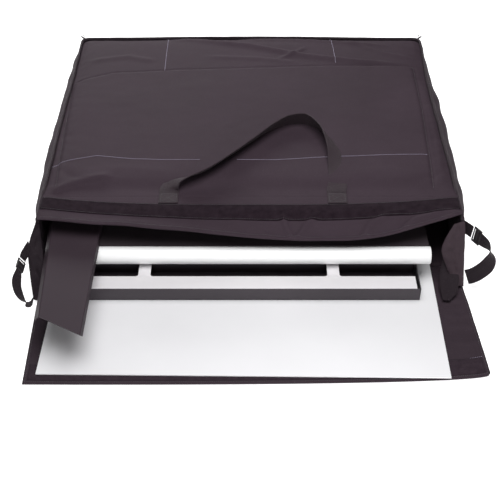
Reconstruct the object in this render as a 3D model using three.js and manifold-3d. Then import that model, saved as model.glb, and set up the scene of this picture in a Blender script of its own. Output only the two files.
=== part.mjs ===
// A padded carry bag lying flat with a knocked-down stand half drawn out of its mouth.
// Millimetres, +Z up. The origin is the centre of the base panel's underside, the mouth
// faces -Y, and the bag lies on the plane z = 0.
import * as THREE from "three";
import { mergeVertices } from "three/addons/utils/BufferGeometryUtils.js";
import Module from "manifold-3d";

// ---- Driving dimensions ------------------------------------------------------------
const gap = 0.3; // between faces that touch

// Bag
const bagWidth = 1080;
const bagLength = 940;
const bagHeight = 170;
const sideBulge = 14; // how far each long side bows outwards
const basePad = 8;
const topPad = 12;
const wallPad = 5;
const bindingWidth = 6;
const bindingHeight = 12;
const hemLength = 96; // loose front of the top panel
const hemPad = 5;
const flapPad = 6.2;
const flapLeftLength = 410;
const flapRightLength = 382;
const flapTaperLeft = 16;
const flapFlareRight = 24;
const tapeWidth = 50;
const tapePad = 1.5;
const tapeEndSetback = 12; // from the hem's back edge, at its ends
const tapeMiddleSetback = 10; // from the handle patches, in its middle
const stiffenerPad = 4.5;
const webbingWide = 50;
const webbingNarrow = 38;
const webbingPad = 2.5;
const patchLength = 42;
const patchLeftX = -209;
const patchRightX = 224;
const handleRootGap = 2.5; // from a patch to where the loop starts to move
const wingReach = 58;
const wingHeight = 140;
const wingFlare = 20; // degrees

// Desk board
const boardWidth = 960;
const boardDepth = 640;
const boardThick = 4;
const boardTurn = -0.7; // degrees, as it was pulled out
const boardShift = -12; // middle of the board from the middle of the bag
const boardOut = 392; // how far it stands out of the mouth

// Cable rail
const railLength = 906;
const railDepth = 105; // the open tray, front to back
const ledgeDepth = 45; // the ledge over the front of the tray
const railHeight = 38;
const railWall = 2;
const ledgeThick = 2;
const tabWidth = 31;
const tabFillet = 8;
const tabSpacing = 476;
const standShift = -28; // middle of the deck and rail from the middle of the bag
const railOut = 138;

// Deck
const deckLength = 970;
const deckDepth = 500;
const tubeRadius = 22.5;
const tubeWall = 2;
const capThick = 3;
const sheetThick = 1.5;
const matThick = 3;
const cheekThick = 3;
const deckOut = 63; // front tube past the mouth
const deckLift = 2; // free height between the ledge and the front tube

// Leg brackets and their hand knobs
const bracketSize = 70;
const bracketThick = 4;
const knobRadius = 18;
const knobHead = 14;
const studRadius = 4;
const knobLobes = 6;
const bracketInset = 60;

// Legs
const legLength = 820;
const legTaperLength = 600;
const footWidth = 104;
const headWidth = 135;
const legSheet = 2;
const flangeDrop = 20;
const innerFlangeAngle = 85; // degrees below the face
const outerFlangeAngle = 56;
const footCut = 31; // degrees
const footRake = 0.9; // how far the inner flange's foot is set back, per its drop
const legOut = 370; // the drawn leg past the mouth
const legStowGap = 70; // from a stowed leg's head to the back gusset
const outerLegOffset = 355; // inner edge of an outer leg from the deck's middle
const innerLegOffset = 161;

// ---- Sizes that follow -------------------------------------------------------------
const mouthY = -bagLength / 2;
const backY = bagLength / 2;
const topZ = bagHeight;
const topUnderZ = topZ - topPad;
const wallTopZ = topUnderZ - gap;
const hemBackY = mouthY + hemLength;
const boardZ = Math.max(basePad, flapPad + gap + tapePad) + gap;
const boardTopZ = boardZ + boardThick;
const railZ = boardTopZ + gap;
const ledgeZ = railZ + railHeight + gap;
const ledgeTopZ = ledgeZ + ledgeThick;
const tubeZ = ledgeTopZ + deckLift + tubeRadius;
const deckTopZ = tubeZ + tubeRadius;
const matZ = deckTopZ - matThick;
const sheetZ = matZ - gap - sheetThick;
const frontTubeY = mouthY - deckOut + tubeRadius;
const rearTubeY = frontTubeY + deckDepth - 2 * tubeRadius;
const innerRun = flangeDrop / Math.tan(THREE.MathUtils.degToRad(innerFlangeAngle));
const outerRun = flangeDrop / Math.tan(THREE.MathUtils.degToRad(outerFlangeAngle));
const legFootZ = deckTopZ + gap;
const legFaceZ = legFootZ + flangeDrop;
const wallBackY = backY - wallPad - gap;
const stowedFootY = wallBackY - legStowGap - legLength;

// ---- Materials ---------------------------------------------------------------------
function finish(color, roughness, metalness = 0) {
  return new THREE.MeshStandardMaterial({ color, roughness, metalness });
}
const nylon = finish(0x3f363b, 0.85);
const nylonDark = finish(0x2b2529, 0.9);
const webbing = finish(0x322c30, 0.8);
const whiteCoat = finish(0xf4f4f6, 0.35);
const silverCoat = finish(0xdcd9dd, 0.4, 0.2);
const blackCoat = finish(0x37323a, 0.5, 0.2);
const rubber = finish(0x2a2628, 0.9);
const blackPlastic = finish(0x1b1a1c, 0.5);

// ---- Helpers -----------------------------------------------------------------------
const wasm = await Module();
wasm.setup();
const stand = new THREE.Group();

function add(name, geometry, material, parent = stand) {
  const mesh = new THREE.Mesh(geometry, material);
  mesh.name = name;
  parent.add(mesh);
  return mesh;
}

function box(x0, x1, y0, y1, z0, z1) {
  const g = new THREE.BoxGeometry(x1 - x0, y1 - y0, z1 - z0);
  return g.translate((x0 + x1) / 2, (y0 + y1) / 2, (z0 + z1) / 2);
}

function extrude(shape, depth, curveSegments = 6) {
  return new THREE.ExtrudeGeometry(shape, { depth, bevelEnabled: false, curveSegments });
}

// An outline in plan, raised between two heights.
function plate(points, z0, z1) {
  return extrude(new THREE.Shape(points), z1 - z0).translate(0, 0, z0);
}

// A profile drawn in (y, z), run along X.
function bar(shape, x0, x1, curveSegments = 6) {
  const toAxes = new THREE.Matrix4().makeBasis(
    new THREE.Vector3(0, 1, 0),
    new THREE.Vector3(0, 0, 1),
    new THREE.Vector3(1, 0, 0),
  );
  return extrude(shape, x1 - x0, curveSegments).applyMatrix4(toAxes).translate(x0, 0, 0);
}

function toSolid(geometry) {
  const bare = geometry.clone();
  bare.deleteAttribute("normal");
  bare.deleteAttribute("uv");
  const merged = mergeVertices(bare, 1e-3);
  return new wasm.Manifold(
    new wasm.Mesh({
      numProp: 3,
      vertProperties: merged.attributes.position.array,
      triVerts: new Uint32Array(merged.index.array),
    }),
  );
}

function fromSolid(solid) {
  const mesh = solid.getMesh();
  const g = new THREE.BufferGeometry();
  g.setAttribute("position", new THREE.BufferAttribute(mesh.vertProperties, 3));
  g.setIndex(new THREE.BufferAttribute(mesh.triVerts, 1));
  return g;
}

// A closed solid through rings of equal count, with flat ends. The rings turn
// anticlockwise seen from the last ring, looking back at the first.
function loft(rings) {
  const count = rings[0].length;
  const vertices = rings.flat();
  const faces = [];
  for (let r = 0; r + 1 < rings.length; r++) {
    for (let i = 0; i < count; i++) {
      const a = r * count + i;
      const b = r * count + ((i + 1) % count);
      const [c, d] = [b + count, a + count];
      // Each quad is split along its shorter diagonal, so a pad and what it lies on match.
      if (vertices[a].distanceTo(vertices[c]) <= vertices[b].distanceTo(vertices[d])) {
        faces.push(a, b, c, a, c, d);
      } else {
        faces.push(a, b, d, b, c, d);
      }
    }
  }
  const first = rings[0][0];
  const along = rings[1][0].clone().sub(first).normalize();
  const side = rings[0][1].clone().sub(first);
  side.addScaledVector(along, -side.dot(along)).normalize();
  const up = along.clone().cross(side);
  const flat = (p) => new THREE.Vector2(p.clone().sub(first).dot(side), p.clone().sub(first).dot(up));
  const last = (rings.length - 1) * count;
  for (const [a, b, c] of THREE.ShapeUtils.triangulateShape(rings[0].map(flat), [])) {
    faces.push(c, b, a, last + a, last + b, last + c);
  }
  const g = new THREE.BufferGeometry().setFromPoints(vertices);
  g.setIndex(faces);
  return g;
}

// A strip of webbing through stations that hold its middle, direction and width direction.
function strip(stations, width, thick) {
  const rings = stations.map(({ at, along, across }) => {
    const w = across.clone().addScaledVector(along, -across.dot(along)).normalize();
    const n = along.clone().cross(w);
    const corner = (u, v) =>
      at.clone().addScaledVector(w, (u * width) / 2).addScaledVector(n, (v * thick) / 2);
    return [corner(-1, -1), corner(1, -1), corner(1, 1), corner(-1, 1)];
  });
  return loft(rings);
}

// Stations along a smooth route of points [x, y, z, tilt]; tilt is the width direction's
// angle above the horizontal, in degrees.
function route(points, steps) {
  const curve = new THREE.CatmullRomCurve3(points.map(([x, y, z]) => new THREE.Vector3(x, y, z)));
  const up = new THREE.Vector3(0, 0, 1);
  const spans = points.length - 1;
  return Array.from({ length: steps + 1 }, (_, i) => {
    const t = i / steps;
    const at = curve.getPoint(t);
    const along = curve.getTangent(t);
    const level = along.clone().cross(up).normalize();
    const span = Math.min(Math.floor(t * spans), spans - 1);
    const tilt = THREE.MathUtils.lerp(points[span][3], points[span + 1][3], t * spans - span);
    const angle = THREE.MathUtils.degToRad(tilt);
    const across = level.multiplyScalar(Math.cos(angle)).addScaledVector(up, Math.sin(angle));
    return { at, along, across };
  });
}

// ---- Bag ---------------------------------------------------------------------------
// Half the bag's width at a given depth: the long sides bow outwards between the corners.
function halfWidth(y) {
  return bagWidth / 2 + sideBulge * (1 - (y / (bagLength / 2)) ** 2);
}

// One long side in plan, from y0 to y1, inset from the bag's outline.
function sideLine(side, inset, y0, y1, steps = 8) {
  return Array.from({ length: steps + 1 }, (_, i) => {
    const y = THREE.MathUtils.lerp(y0, y1, i / steps);
    return new THREE.Vector2(side * (halfWidth(y) - inset), y);
  });
}

function panelOutline(inset, y0, y1) {
  return [...sideLine(1, inset, y0, y1), ...sideLine(-1, inset, y0, y1).reverse()];
}

function sideStrip(side, inset, width, y0, y1) {
  const outline = [...sideLine(side, inset, y0, y1), ...sideLine(side, inset + width, y0, y1).reverse()];
  return side > 0 ? outline : outline.reverse();
}

add("base_panel", plate(panelOutline(0, mouthY, backY), 0, basePad), nylonDark);
const topInset = bindingWidth + gap;
const topPanelBackY = backY - topInset;
add("top_panel", plate(panelOutline(topInset, hemBackY, topPanelBackY), topUnderZ, topZ), nylon);

const stiffenerLeft = -503;
const stiffenerRight = 467;
const stiffenerFrontY = hemBackY + 4;
const stiffenerBackY = backY - 218;
const stiffenerTopZ = topUnderZ - gap;
add(
  "top_stiffener",
  box(stiffenerLeft, stiffenerRight, stiffenerFrontY, stiffenerBackY, stiffenerTopZ - stiffenerPad, stiffenerTopZ),
  blackPlastic,
);

const sides = [
  ["left", -1],
  ["right", 1],
];
const bindingZ = topZ + 1.5 - bindingHeight;
for (const [word, side] of sides) {
  const wall = plate(sideStrip(side, 0, wallPad, mouthY, wallBackY), basePad + gap, wallTopZ);
  add(`gusset_${word}`, wall, nylonDark);
  const edge = plate(sideStrip(side, 0, bindingWidth, hemBackY, topPanelBackY), bindingZ, bindingZ + bindingHeight);
  add(`edge_binding_${word}`, edge, webbing);
}
const backHalf = halfWidth(backY);
add("gusset_back", box(-backHalf, backHalf, backY - wallPad, backY, basePad + gap, wallTopZ), nylonDark);
add(
  "edge_binding_back",
  box(-backHalf, backHalf, backY - bindingWidth, backY, bindingZ, bindingZ + bindingHeight),
  webbing,
);

// The front hem is the top panel's loose edge. Its lip bows forward in the middle and sags
// until it all but rests on the legs. Each lip point is [fraction of the half width,
// distance in front of the mouth, fraction of the sag].
const hemBackHalf = halfWidth(hemBackY) - topInset;
const lipLowZ = legFaceZ + hemPad + 8;
const lip = new THREE.CatmullRomCurve3(
  [
    [-1, 6, 0.06],
    [-0.725, 23, 0.06],
    [-0.37, 34, 0.34],
    [-0.04, 43, 0.78],
    [0.22, 46, 1],
    [0.56, 43, 0.92],
    [0.76, 26, 0.4],
    [1, -16, 0.03],
  ].map(
    ([across, out, sag]) =>
      new THREE.Vector3(across * hemBackHalf, mouthY - out, THREE.MathUtils.lerp(topZ, lipLowZ, sag)),
  ),
);
const hemSteps = 24;
const sagStart = 0.3; // the hem lies flat as far as the handle patches reach

// A point on the hem's upper face: t runs from the panel to the lip, s across the bag.
function onHem(s, t) {
  const edge = lip.getPoint(s);
  const y = THREE.MathUtils.lerp(hemBackY - gap, edge.y, t);
  const fall = THREE.MathUtils.smoothstep(t, sagStart, 1);
  return new THREE.Vector3(edge.x, y, THREE.MathUtils.lerp(topZ, edge.z, fall));
}

// A pad on the hem: rows gives the fractions of the hem's depth that it has edges at.
function hemLayer(rows, bottom, top) {
  const rings = [];
  for (let i = 0; i <= hemSteps; i++) {
    const s = i / hemSteps;
    const raised = (t, h) => onHem(s, t).add(new THREE.Vector3(0, 0, h));
    const upper = rows(s).map((t) => raised(t, top));
    const lower = rows(s).reverse().map((t) => raised(t, bottom));
    rings.push([...upper, ...lower]);
  }
  return loft(rings);
}

// The loop tape is sewn in a shallow bow that passes in front of the handle patches.
function tapeEdges(s) {
  const bow = 1 - (2 * s - 1) ** 2;
  const start = THREE.MathUtils.lerp(tapeEndSetback, patchLength + tapeMiddleSetback, bow);
  const depth = hemBackY - gap - lip.getPoint(s).y;
  return [start / depth, (start + tapeWidth) / depth];
}
add("mouth_hem", hemLayer((s) => [0, ...tapeEdges(s), 1], -hemPad, 0), nylon);
add("loop_tape", hemLayer(tapeEdges, gap, gap + tapePad), rubber);

// The closing flap lies open on the floor in front of the mouth, its hook tape upwards.
const flapFrontLeft = new THREE.Vector2(-bagWidth / 2 + flapTaperLeft, mouthY - flapLeftLength);
const flapFrontRight = new THREE.Vector2(bagWidth / 2 + flapFlareRight, mouthY - flapRightLength);
const flapRootLeft = new THREE.Vector2(-bagWidth / 2, mouthY - gap);
const flapRootRight = new THREE.Vector2(bagWidth / 2, mouthY - gap);
add("closing_flap", plate([flapRootLeft, flapFrontLeft, flapFrontRight, flapRootRight], 0, flapPad), nylonDark);

function onFlap(u, back) {
  const root = flapRootLeft.clone().lerp(flapRootRight, u);
  const front = flapFrontLeft.clone().lerp(flapFrontRight, u);
  return front.lerp(root, back / front.distanceTo(root));
}
const hookEdge = 8;
const hookTapeZ = flapPad + gap;
add(
  "hook_tape",
  plate(
    [
      onFlap(0.01, hookEdge),
      onFlap(0.99, hookEdge),
      onFlap(0.99, hookEdge + tapeWidth),
      onFlap(0.01, hookEdge + tapeWidth),
    ],
    hookTapeZ,
    hookTapeZ + tapePad,
  ),
  rubber,
);

// Side wings carry each gusset on past the mouth, leaning outwards.
for (const [word, side] of sides) {
  const outline = new THREE.Shape([
    new THREE.Vector2(0, 0),
    new THREE.Vector2(wingReach, 0),
    new THREE.Vector2(wingReach * 0.75, wingHeight * 0.45),
    new THREE.Vector2(6, wingHeight),
    new THREE.Vector2(0, wingHeight),
  ]);
  const panel = extrude(outline, wallPad - 1).rotateX(Math.PI / 2).rotateZ(-Math.PI / 2);
  panel.translate(side > 0 ? wallPad - 1 : 0, 0, 0);
  const wing = add(`side_wing_${word}`, panel, nylonDark);
  wing.rotation.z = side * THREE.MathUtils.degToRad(wingFlare);
  wing.position.set(side * (bagWidth / 2 - wallPad / 2) + (side > 0 ? -2 : 2), mouthY - 2, basePad + gap);
}

// ---- Carry handle ------------------------------------------------------------------
// Its ends are stitched to the hem in two patches, and the loop lies back over the panel.
const patchZ = topZ + gap;
const patchBackY = hemBackY - 0.5;
const patchX = { left: patchLeftX, right: patchRightX };
for (const [word] of sides) {
  const x = patchX[word];
  const half = webbingWide / 2;
  const patch = box(x - half, x + half, patchBackY - patchLength, patchBackY, patchZ, patchZ + webbingPad);
  add(`handle_patch_${word}`, patch, webbing);
}
const rootY = patchBackY + handleRootGap;
const flatZ = patchZ + webbingPad / 2;
// [from the left patch, behind the roots, height above a flat strip, tilt]
const loopPoints = [
  [0, 0, 0.2, 0],
  [0, 9, 0.8, 0],
  [3, 20, 4, 5],
  [18, 34, 11, 20],
  [48, 44, 18, 40],
  [96, 70, 24, 58],
  [160, 140, 26, 68],
  [216, 206, 26.5, 76],
  [270, 268, 27, 84],
  [318, 300, 27, 90],
  [366, 302, 27, 88],
  [410, 252, 26, 72],
  [436, 172, 20, 46],
  [441, 96, 8, 14],
];
const handleRoute = loopPoints.map(([x, y, z, tilt]) => [patchX.left + x, rootY + y, flatZ + z, tilt]);
handleRoute.push(
  [patchX.right + 5, rootY + 36, flatZ + 1.5, 2],
  [patchX.right, rootY + 9, flatZ + 0.6, 0],
  [patchX.right, rootY, flatZ + 0.2, 0],
);
add("carry_handle", strip(route(handleRoute, 48), webbingWide, webbingPad), webbing);

// ---- Side straps -------------------------------------------------------------------
// Each runs from a wing through a ladder lock and back to the flap's edge.
const lockWidth = 48;
const lockDepth = 26;
const lockThick = 4;
const slotWidth = webbingNarrow + 2;
const slotDepth = 6;

function ladderLock() {
  const hw = lockWidth / 2;
  const hd = lockDepth / 2;
  const shape = new THREE.Shape([
    new THREE.Vector2(-hd, -hw),
    new THREE.Vector2(hd, -hw),
    new THREE.Vector2(hd, hw),
    new THREE.Vector2(-hd, hw),
  ]);
  for (const [middle, width] of [
    [-1, slotWidth],
    [1, slotWidth - 1],
  ]) {
    const x = (middle * lockDepth) / 4;
    const slot = new THREE.Path();
    slot.moveTo(x - slotDepth / 2, -width / 2);
    slot.lineTo(x - slotDepth / 2, width / 2);
    slot.lineTo(x + slotDepth / 2, width / 2);
    slot.lineTo(x + slotDepth / 2, -width / 2);
    shape.holes.push(slot);
  }
  return extrude(shape, lockThick).translate(0, 0, -lockThick / 2);
}

// Points are [beyond the bag's side, in front of the mouth, height, tilt].
const strapRoutes = {
  right: {
    root: [7, -26, 119],
    lock: [35, 11, 116],
    aim: [0.56, 0.8, -0.1],
    loop: [
      [61, 43, 106, 84],
      [66, 60, 91, 80],
      [57, 74, 72, 78],
      [36, 79, 52, 80],
      [20, 76, 38, 84],
      [11, 71, 31, 86],
    ],
  },
  left: {
    root: [24, 56, 112],
    lock: [36, 96, 94],
    aim: [0.2, 0.84, -0.5],
    loop: [
      [43, 134, 70, 84],
      [37, 152, 54, 80],
      [24, 166, 41, 80],
      [10, 170, 33, 84],
      [1, 162, 30, 86],
      [-2, 152, 29, 86],
    ],
  },
};
const strapPad = webbingPad - 0.5;
const lockGap = 1;
const tabGap = 3.5; // room for the lock to swing at the tab

for (const [word, side] of sides) {
  const { root, lock, loop, aim } = strapRoutes[word];
  const place = ([out, ahead, z, ...tilt]) => [side * (bagWidth / 2 + out), mouthY - ahead, z, ...tilt];
  const along = new THREE.Vector3(side * aim[0], -aim[1], aim[2]).normalize();
  const middle = new THREE.Vector3(...place(lock));
  // A point on the lock's own line, and the strap's tilt there.
  const onLine = (distance) => [...middle.clone().addScaledVector(along, distance).toArray(), 90];
  const tabEnd = lockDepth / 2 + tabGap;
  const loopEnd = lockDepth / 2 + lockGap;
  const tab = route([[...place(root), 90], onLine(-tabEnd - 6), onLine(-tabEnd)], 4);
  const loopRoute = route([onLine(loopEnd), onLine(loopEnd + 6), ...loop.map(place)], 20);
  add(`strap_tab_${word}`, strip(tab, webbingNarrow, strapPad), webbing);
  add(`strap_loop_${word}`, strip(loopRoute, webbingNarrow, strapPad), webbing);
  const across = new THREE.Vector3(0, 0, 1).addScaledVector(along, -along.z).normalize();
  const basis = new THREE.Matrix4().makeBasis(along, across, along.clone().cross(across));
  const frame = ladderLock().applyMatrix4(basis).translate(...middle.toArray());
  add(`ladder_lock_${word}`, frame, blackPlastic);
}

// ---- Desk board --------------------------------------------------------------------
const boardGroup = new THREE.Group();
boardGroup.position.set(boardShift, mouthY - boardOut + boardDepth / 2, boardZ);
boardGroup.rotation.z = THREE.MathUtils.degToRad(boardTurn);
stand.add(boardGroup);
add(
  "desk_board",
  box(-boardWidth / 2, boardWidth / 2, -boardDepth / 2, boardDepth / 2, 0, boardThick),
  whiteCoat,
  boardGroup,
);

// ---- Cable rail --------------------------------------------------------------------
const railFrontY = mouthY - railOut;
const railBackY = railFrontY + railDepth;
const ledgeBackY = railFrontY + ledgeDepth;
const railLeft = standShift - railLength / 2;
const railRight = standShift + railLength / 2;

const channel = new THREE.Shape([
  new THREE.Vector2(railFrontY, railZ),
  new THREE.Vector2(railBackY, railZ),
  new THREE.Vector2(railBackY, railZ + railHeight),
  new THREE.Vector2(railBackY - railWall, railZ + railHeight),
  new THREE.Vector2(railBackY - railWall, railZ + railWall),
  new THREE.Vector2(railFrontY + railWall, railZ + railWall),
  new THREE.Vector2(railFrontY + railWall, railZ + railHeight),
  new THREE.Vector2(railFrontY, railZ + railHeight),
]);
add("rail_channel", bar(channel, railLeft + railWall + gap, railRight - railWall - gap), blackCoat);
for (const [word, side] of sides) {
  const outer = side > 0 ? railRight : railLeft;
  const inner = outer - side * railWall;
  const cap = box(Math.min(outer, inner), Math.max(outer, inner), railFrontY, railBackY, railZ, railZ + railHeight);
  add(`rail_cap_${word}`, cap, blackPlastic);
}

// The ledge lies over the front of the tray, with two tabs that run back to its rear wall
// and leave the tray open for cables between them.
const ledge = new THREE.Shape();
const ledgeEnd = 10;
ledge.moveTo(railLeft + ledgeEnd, railFrontY);
ledge.lineTo(railRight - ledgeEnd, railFrontY);
ledge.lineTo(railRight - ledgeEnd, ledgeBackY);
for (const side of [1, -1]) {
  const middle = standShift + (side * tabSpacing) / 2;
  const near = middle + tabWidth / 2;
  const far = middle - tabWidth / 2;
  ledge.lineTo(near + tabFillet, ledgeBackY);
  ledge.quadraticCurveTo(near, ledgeBackY, near, ledgeBackY + tabFillet);
  ledge.lineTo(near, railBackY);
  ledge.lineTo(far, railBackY);
  ledge.lineTo(far, ledgeBackY + tabFillet);
  ledge.quadraticCurveTo(far, ledgeBackY, far - tabFillet, ledgeBackY);
}
ledge.lineTo(railLeft + ledgeEnd, ledgeBackY);
add("cable_ledge", extrude(ledge, ledgeThick).translate(0, 0, ledgeZ), silverCoat);

// ---- Deck --------------------------------------------------------------------------
const deckLeft = standShift - deckLength / 2;
const deckRight = standShift + deckLength / 2;
const tubeLeft = deckLeft + capThick + gap;
const tubeRight = deckRight - capThick - gap;

function disc(y, z, radius) {
  const shape = new THREE.Shape();
  shape.absarc(y, z, radius, 0, Math.PI * 2);
  return shape;
}

for (const [word, y] of [
  ["front", frontTubeY],
  ["rear", rearTubeY],
]) {
  const ring = disc(y, tubeZ, tubeRadius);
  const bore = new THREE.Path();
  bore.absarc(y, tubeZ, tubeRadius - tubeWall, 0, Math.PI * 2);
  ring.holes.push(bore);
  add(`${word}_tube`, bar(ring, tubeLeft, tubeRight, 14), whiteCoat);
  add(`${word}_tube_cap_left`, bar(disc(y, tubeZ, tubeRadius), deckLeft, deckLeft + capThick, 14), whiteCoat);
  add(`${word}_tube_cap_right`, bar(disc(y, tubeZ, tubeRadius), deckRight - capThick, deckRight, 14), whiteCoat);
}

// Where a tube's surface stands at a given height, from its axis.
function tubeHalfChord(z) {
  return Math.sqrt(Math.max(tubeRadius ** 2 - (z - tubeZ) ** 2, 0)) + gap;
}
const matRun = tubeHalfChord(matZ);
const sheetRun = tubeHalfChord(sheetZ);
add("deck_mat", box(tubeLeft, tubeRight, frontTubeY + matRun, rearTubeY - matRun, matZ, deckTopZ), rubber);
const sheetTop = sheetZ + sheetThick;
add("deck_sheet", box(tubeLeft, tubeRight, frontTubeY + sheetRun, rearTubeY - sheetRun, sheetZ, sheetTop), whiteCoat);
const cheekRun = tubeRadius + gap;
const cheekZ = tubeZ - tubeRadius + 4;
for (const [word, side] of sides) {
  const outer = side > 0 ? tubeRight : tubeLeft;
  const inner = outer - side * cheekThick;
  const cheek = box(
    Math.min(outer, inner),
    Math.max(outer, inner),
    frontTubeY + cheekRun,
    rearTubeY - cheekRun,
    cheekZ,
    sheetZ - gap,
  );
  add(`deck_cheek_${word}`, cheek, whiteCoat);
}

// Four brackets under the deck take the legs, each clamped by a hand knob.
const bracketTopZ = sheetZ - gap;
const bracketZ = bracketTopZ - bracketThick;
const knobTopZ = bracketZ - gap;
const studClearance = 0.6;
for (const [depthWord, y] of [
  ["front", frontTubeY + cheekRun + bracketInset],
  ["rear", rearTubeY - cheekRun - bracketInset],
]) {
  for (const [word, side] of sides) {
    const x = standShift + side * (deckLength / 2 - capThick - cheekThick - bracketInset);
    const half = bracketSize / 2;
    const outline = new THREE.Shape([
      new THREE.Vector2(x - half, y - half),
      new THREE.Vector2(x + half, y - half),
      new THREE.Vector2(x + half, y + half),
      new THREE.Vector2(x - half, y + half),
    ]);
    const hole = new THREE.Path();
    hole.absarc(x, y, studRadius + studClearance, 0, Math.PI * 2);
    outline.holes.push(hole);
    add(`leg_bracket_${depthWord}_${word}`, extrude(outline, bracketThick).translate(0, 0, bracketZ), blackCoat);

    const rim = Array.from({ length: knobLobes * 6 }, (_, i) => {
      const angle = (i / (knobLobes * 6)) * Math.PI * 2;
      const radius = knobRadius * (0.9 + 0.1 * Math.cos(knobLobes * angle));
      return new THREE.Vector2(radius * Math.cos(angle), radius * Math.sin(angle));
    });
    const head = toSolid(extrude(new THREE.Shape(rim), knobHead));
    const studLength = bracketThick + gap + 0.5;
    const stud = new THREE.CylinderGeometry(studRadius, studRadius, studLength, 16).rotateX(Math.PI / 2);
    stud.translate(0, 0, knobHead + studLength / 2 - 0.5);
    const knob = add(`hand_knob_${depthWord}_${word}`, fromSolid(head.add(toSolid(stud))), blackPlastic);
    knob.position.set(x, y, knobTopZ - knobHead);
  }
}

// ---- Legs --------------------------------------------------------------------------
// A folded sheet channel: a flat face whose outer edge tapers towards the foot, and a
// flange along each edge. The inner edge runs straight along Y at x = 0, and the leg
// widens towards side * X.
function legRing(side, width, y, skew, rake = 0) {
  const s = legSheet;
  const profile = [
    [-innerRun, -flangeDrop],
    [0, 0],
    [width, 0],
    [width + outerRun, -flangeDrop],
    [width + outerRun - s * 1.2, -flangeDrop],
    [width - s * 0.5, -s],
    [s * 0.9, -s],
    [-innerRun + s, -flangeDrop],
  ];
  const slope = Math.tan(THREE.MathUtils.degToRad(skew));
  // rake sets the inner flange's lower edge back at the foot.
  const back = (x, z) => (x < width / 2 ? -z * rake : 0);
  const ring = profile.map(([x, z]) => new THREE.Vector3(side * x, y + x * slope + back(x, z), z));
  return side > 0 ? ring : ring.reverse();
}

const legs = [
  ["outer_left", -1, -outerLegOffset, mouthY - legOut],
  ["inner_left", -1, -innerLegOffset, stowedFootY],
  ["inner_right", 1, innerLegOffset, stowedFootY],
  ["outer_right", 1, outerLegOffset, stowedFootY],
];
for (const [word, side, offset, footY] of legs) {
  const rings = [
    legRing(side, footWidth, 0, footCut, footRake),
    legRing(side, headWidth, legTaperLength, 0),
    legRing(side, headWidth, legLength, 0),
  ];
  const leg = add(`leg_${word}`, loft(rings), blackCoat);
  leg.position.set(standShift + offset, footY, legFaceZ);
}

export default stand;
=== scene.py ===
import math

import bmesh
import bpy
import numpy as np
from mathutils import Matrix, Vector, noise


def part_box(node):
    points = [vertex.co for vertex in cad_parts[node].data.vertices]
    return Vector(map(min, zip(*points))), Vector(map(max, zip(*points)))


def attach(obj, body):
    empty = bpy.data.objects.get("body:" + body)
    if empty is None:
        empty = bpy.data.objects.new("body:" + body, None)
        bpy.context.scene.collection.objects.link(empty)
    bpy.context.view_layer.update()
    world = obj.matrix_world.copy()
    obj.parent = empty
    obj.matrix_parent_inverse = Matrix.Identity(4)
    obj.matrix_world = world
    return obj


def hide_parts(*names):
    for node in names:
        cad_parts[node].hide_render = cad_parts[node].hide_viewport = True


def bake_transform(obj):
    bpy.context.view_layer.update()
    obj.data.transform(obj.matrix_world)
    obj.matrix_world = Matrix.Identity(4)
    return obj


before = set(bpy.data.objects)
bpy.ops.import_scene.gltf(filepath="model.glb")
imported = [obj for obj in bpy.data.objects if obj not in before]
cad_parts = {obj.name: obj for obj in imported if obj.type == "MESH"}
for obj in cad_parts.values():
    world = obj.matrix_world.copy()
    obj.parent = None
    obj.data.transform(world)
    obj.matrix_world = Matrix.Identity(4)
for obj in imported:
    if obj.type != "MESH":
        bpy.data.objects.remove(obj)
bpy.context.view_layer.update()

# Studio: a pale floor, a broad softbox low behind the bag, a larger one overhead and a weak
# one in front, seen by a camera at a standing eye's height.
scene = bpy.context.scene
scene.view_settings.view_transform = "Standard"

eye = bpy.data.cameras.new("standing_eye")
eye.lens = 70.91
eye.sensor_width = 36.0
eye.shift_x = -0.004
camera = bpy.data.objects.new("standing_eye", eye)
camera.location = (0.0, -2.398, 1.685)
camera.rotation_euler = (math.radians(50.0), 0.0, 0.0)
scene.collection.objects.link(camera)
scene.camera = camera


def softbox(name, place, target, width, depth, watts):
    """A rectangular soft light that faces a target."""
    lamp = bpy.data.lights.new(name, "AREA")
    lamp.shape = "RECTANGLE"
    lamp.size = width
    lamp.size_y = depth
    lamp.energy = watts
    holder = bpy.data.objects.new(name, lamp)
    holder.location = place
    aim = Vector(target) - Vector(place)
    holder.rotation_euler = aim.to_track_quat("-Z", "Y").to_euler()
    scene.collection.objects.link(holder)


softbox("low_softbox", (-0.8, 2.5, 1.35), (0.0, -0.45, 0.1), 2.6, 1.1, 60.0)
softbox("top_softbox", (0.2, -0.8, 3.1), (0.0, -0.45, 0.0), 3.0, 2.2, 108.0)
softbox("front_softbox", (0.3, -3.1, 0.75), (0.0, -0.5, 0.1), 2.6, 1.0, 27.0)

sky = bpy.data.worlds.new("white_room")
sky.use_nodes = True
sky.node_tree.nodes["Background"].inputs["Color"].default_value = (1.0, 1.0, 1.0, 1.0)
sky_nodes, sky_links = sky.node_tree.nodes, sky.node_tree.links
seen = sky_nodes.new("ShaderNodeLightPath")
glow = sky_nodes.new("ShaderNodeMath")
glow.operation = "MULTIPLY_ADD"
glow.inputs[1].default_value = 0.98
glow.inputs[2].default_value = 0.02
sky_links.new(seen.outputs["Is Camera Ray"], glow.inputs[0])
sky_links.new(glow.outputs["Value"], sky_nodes["Background"].inputs["Strength"])
scene.world = sky

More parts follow.
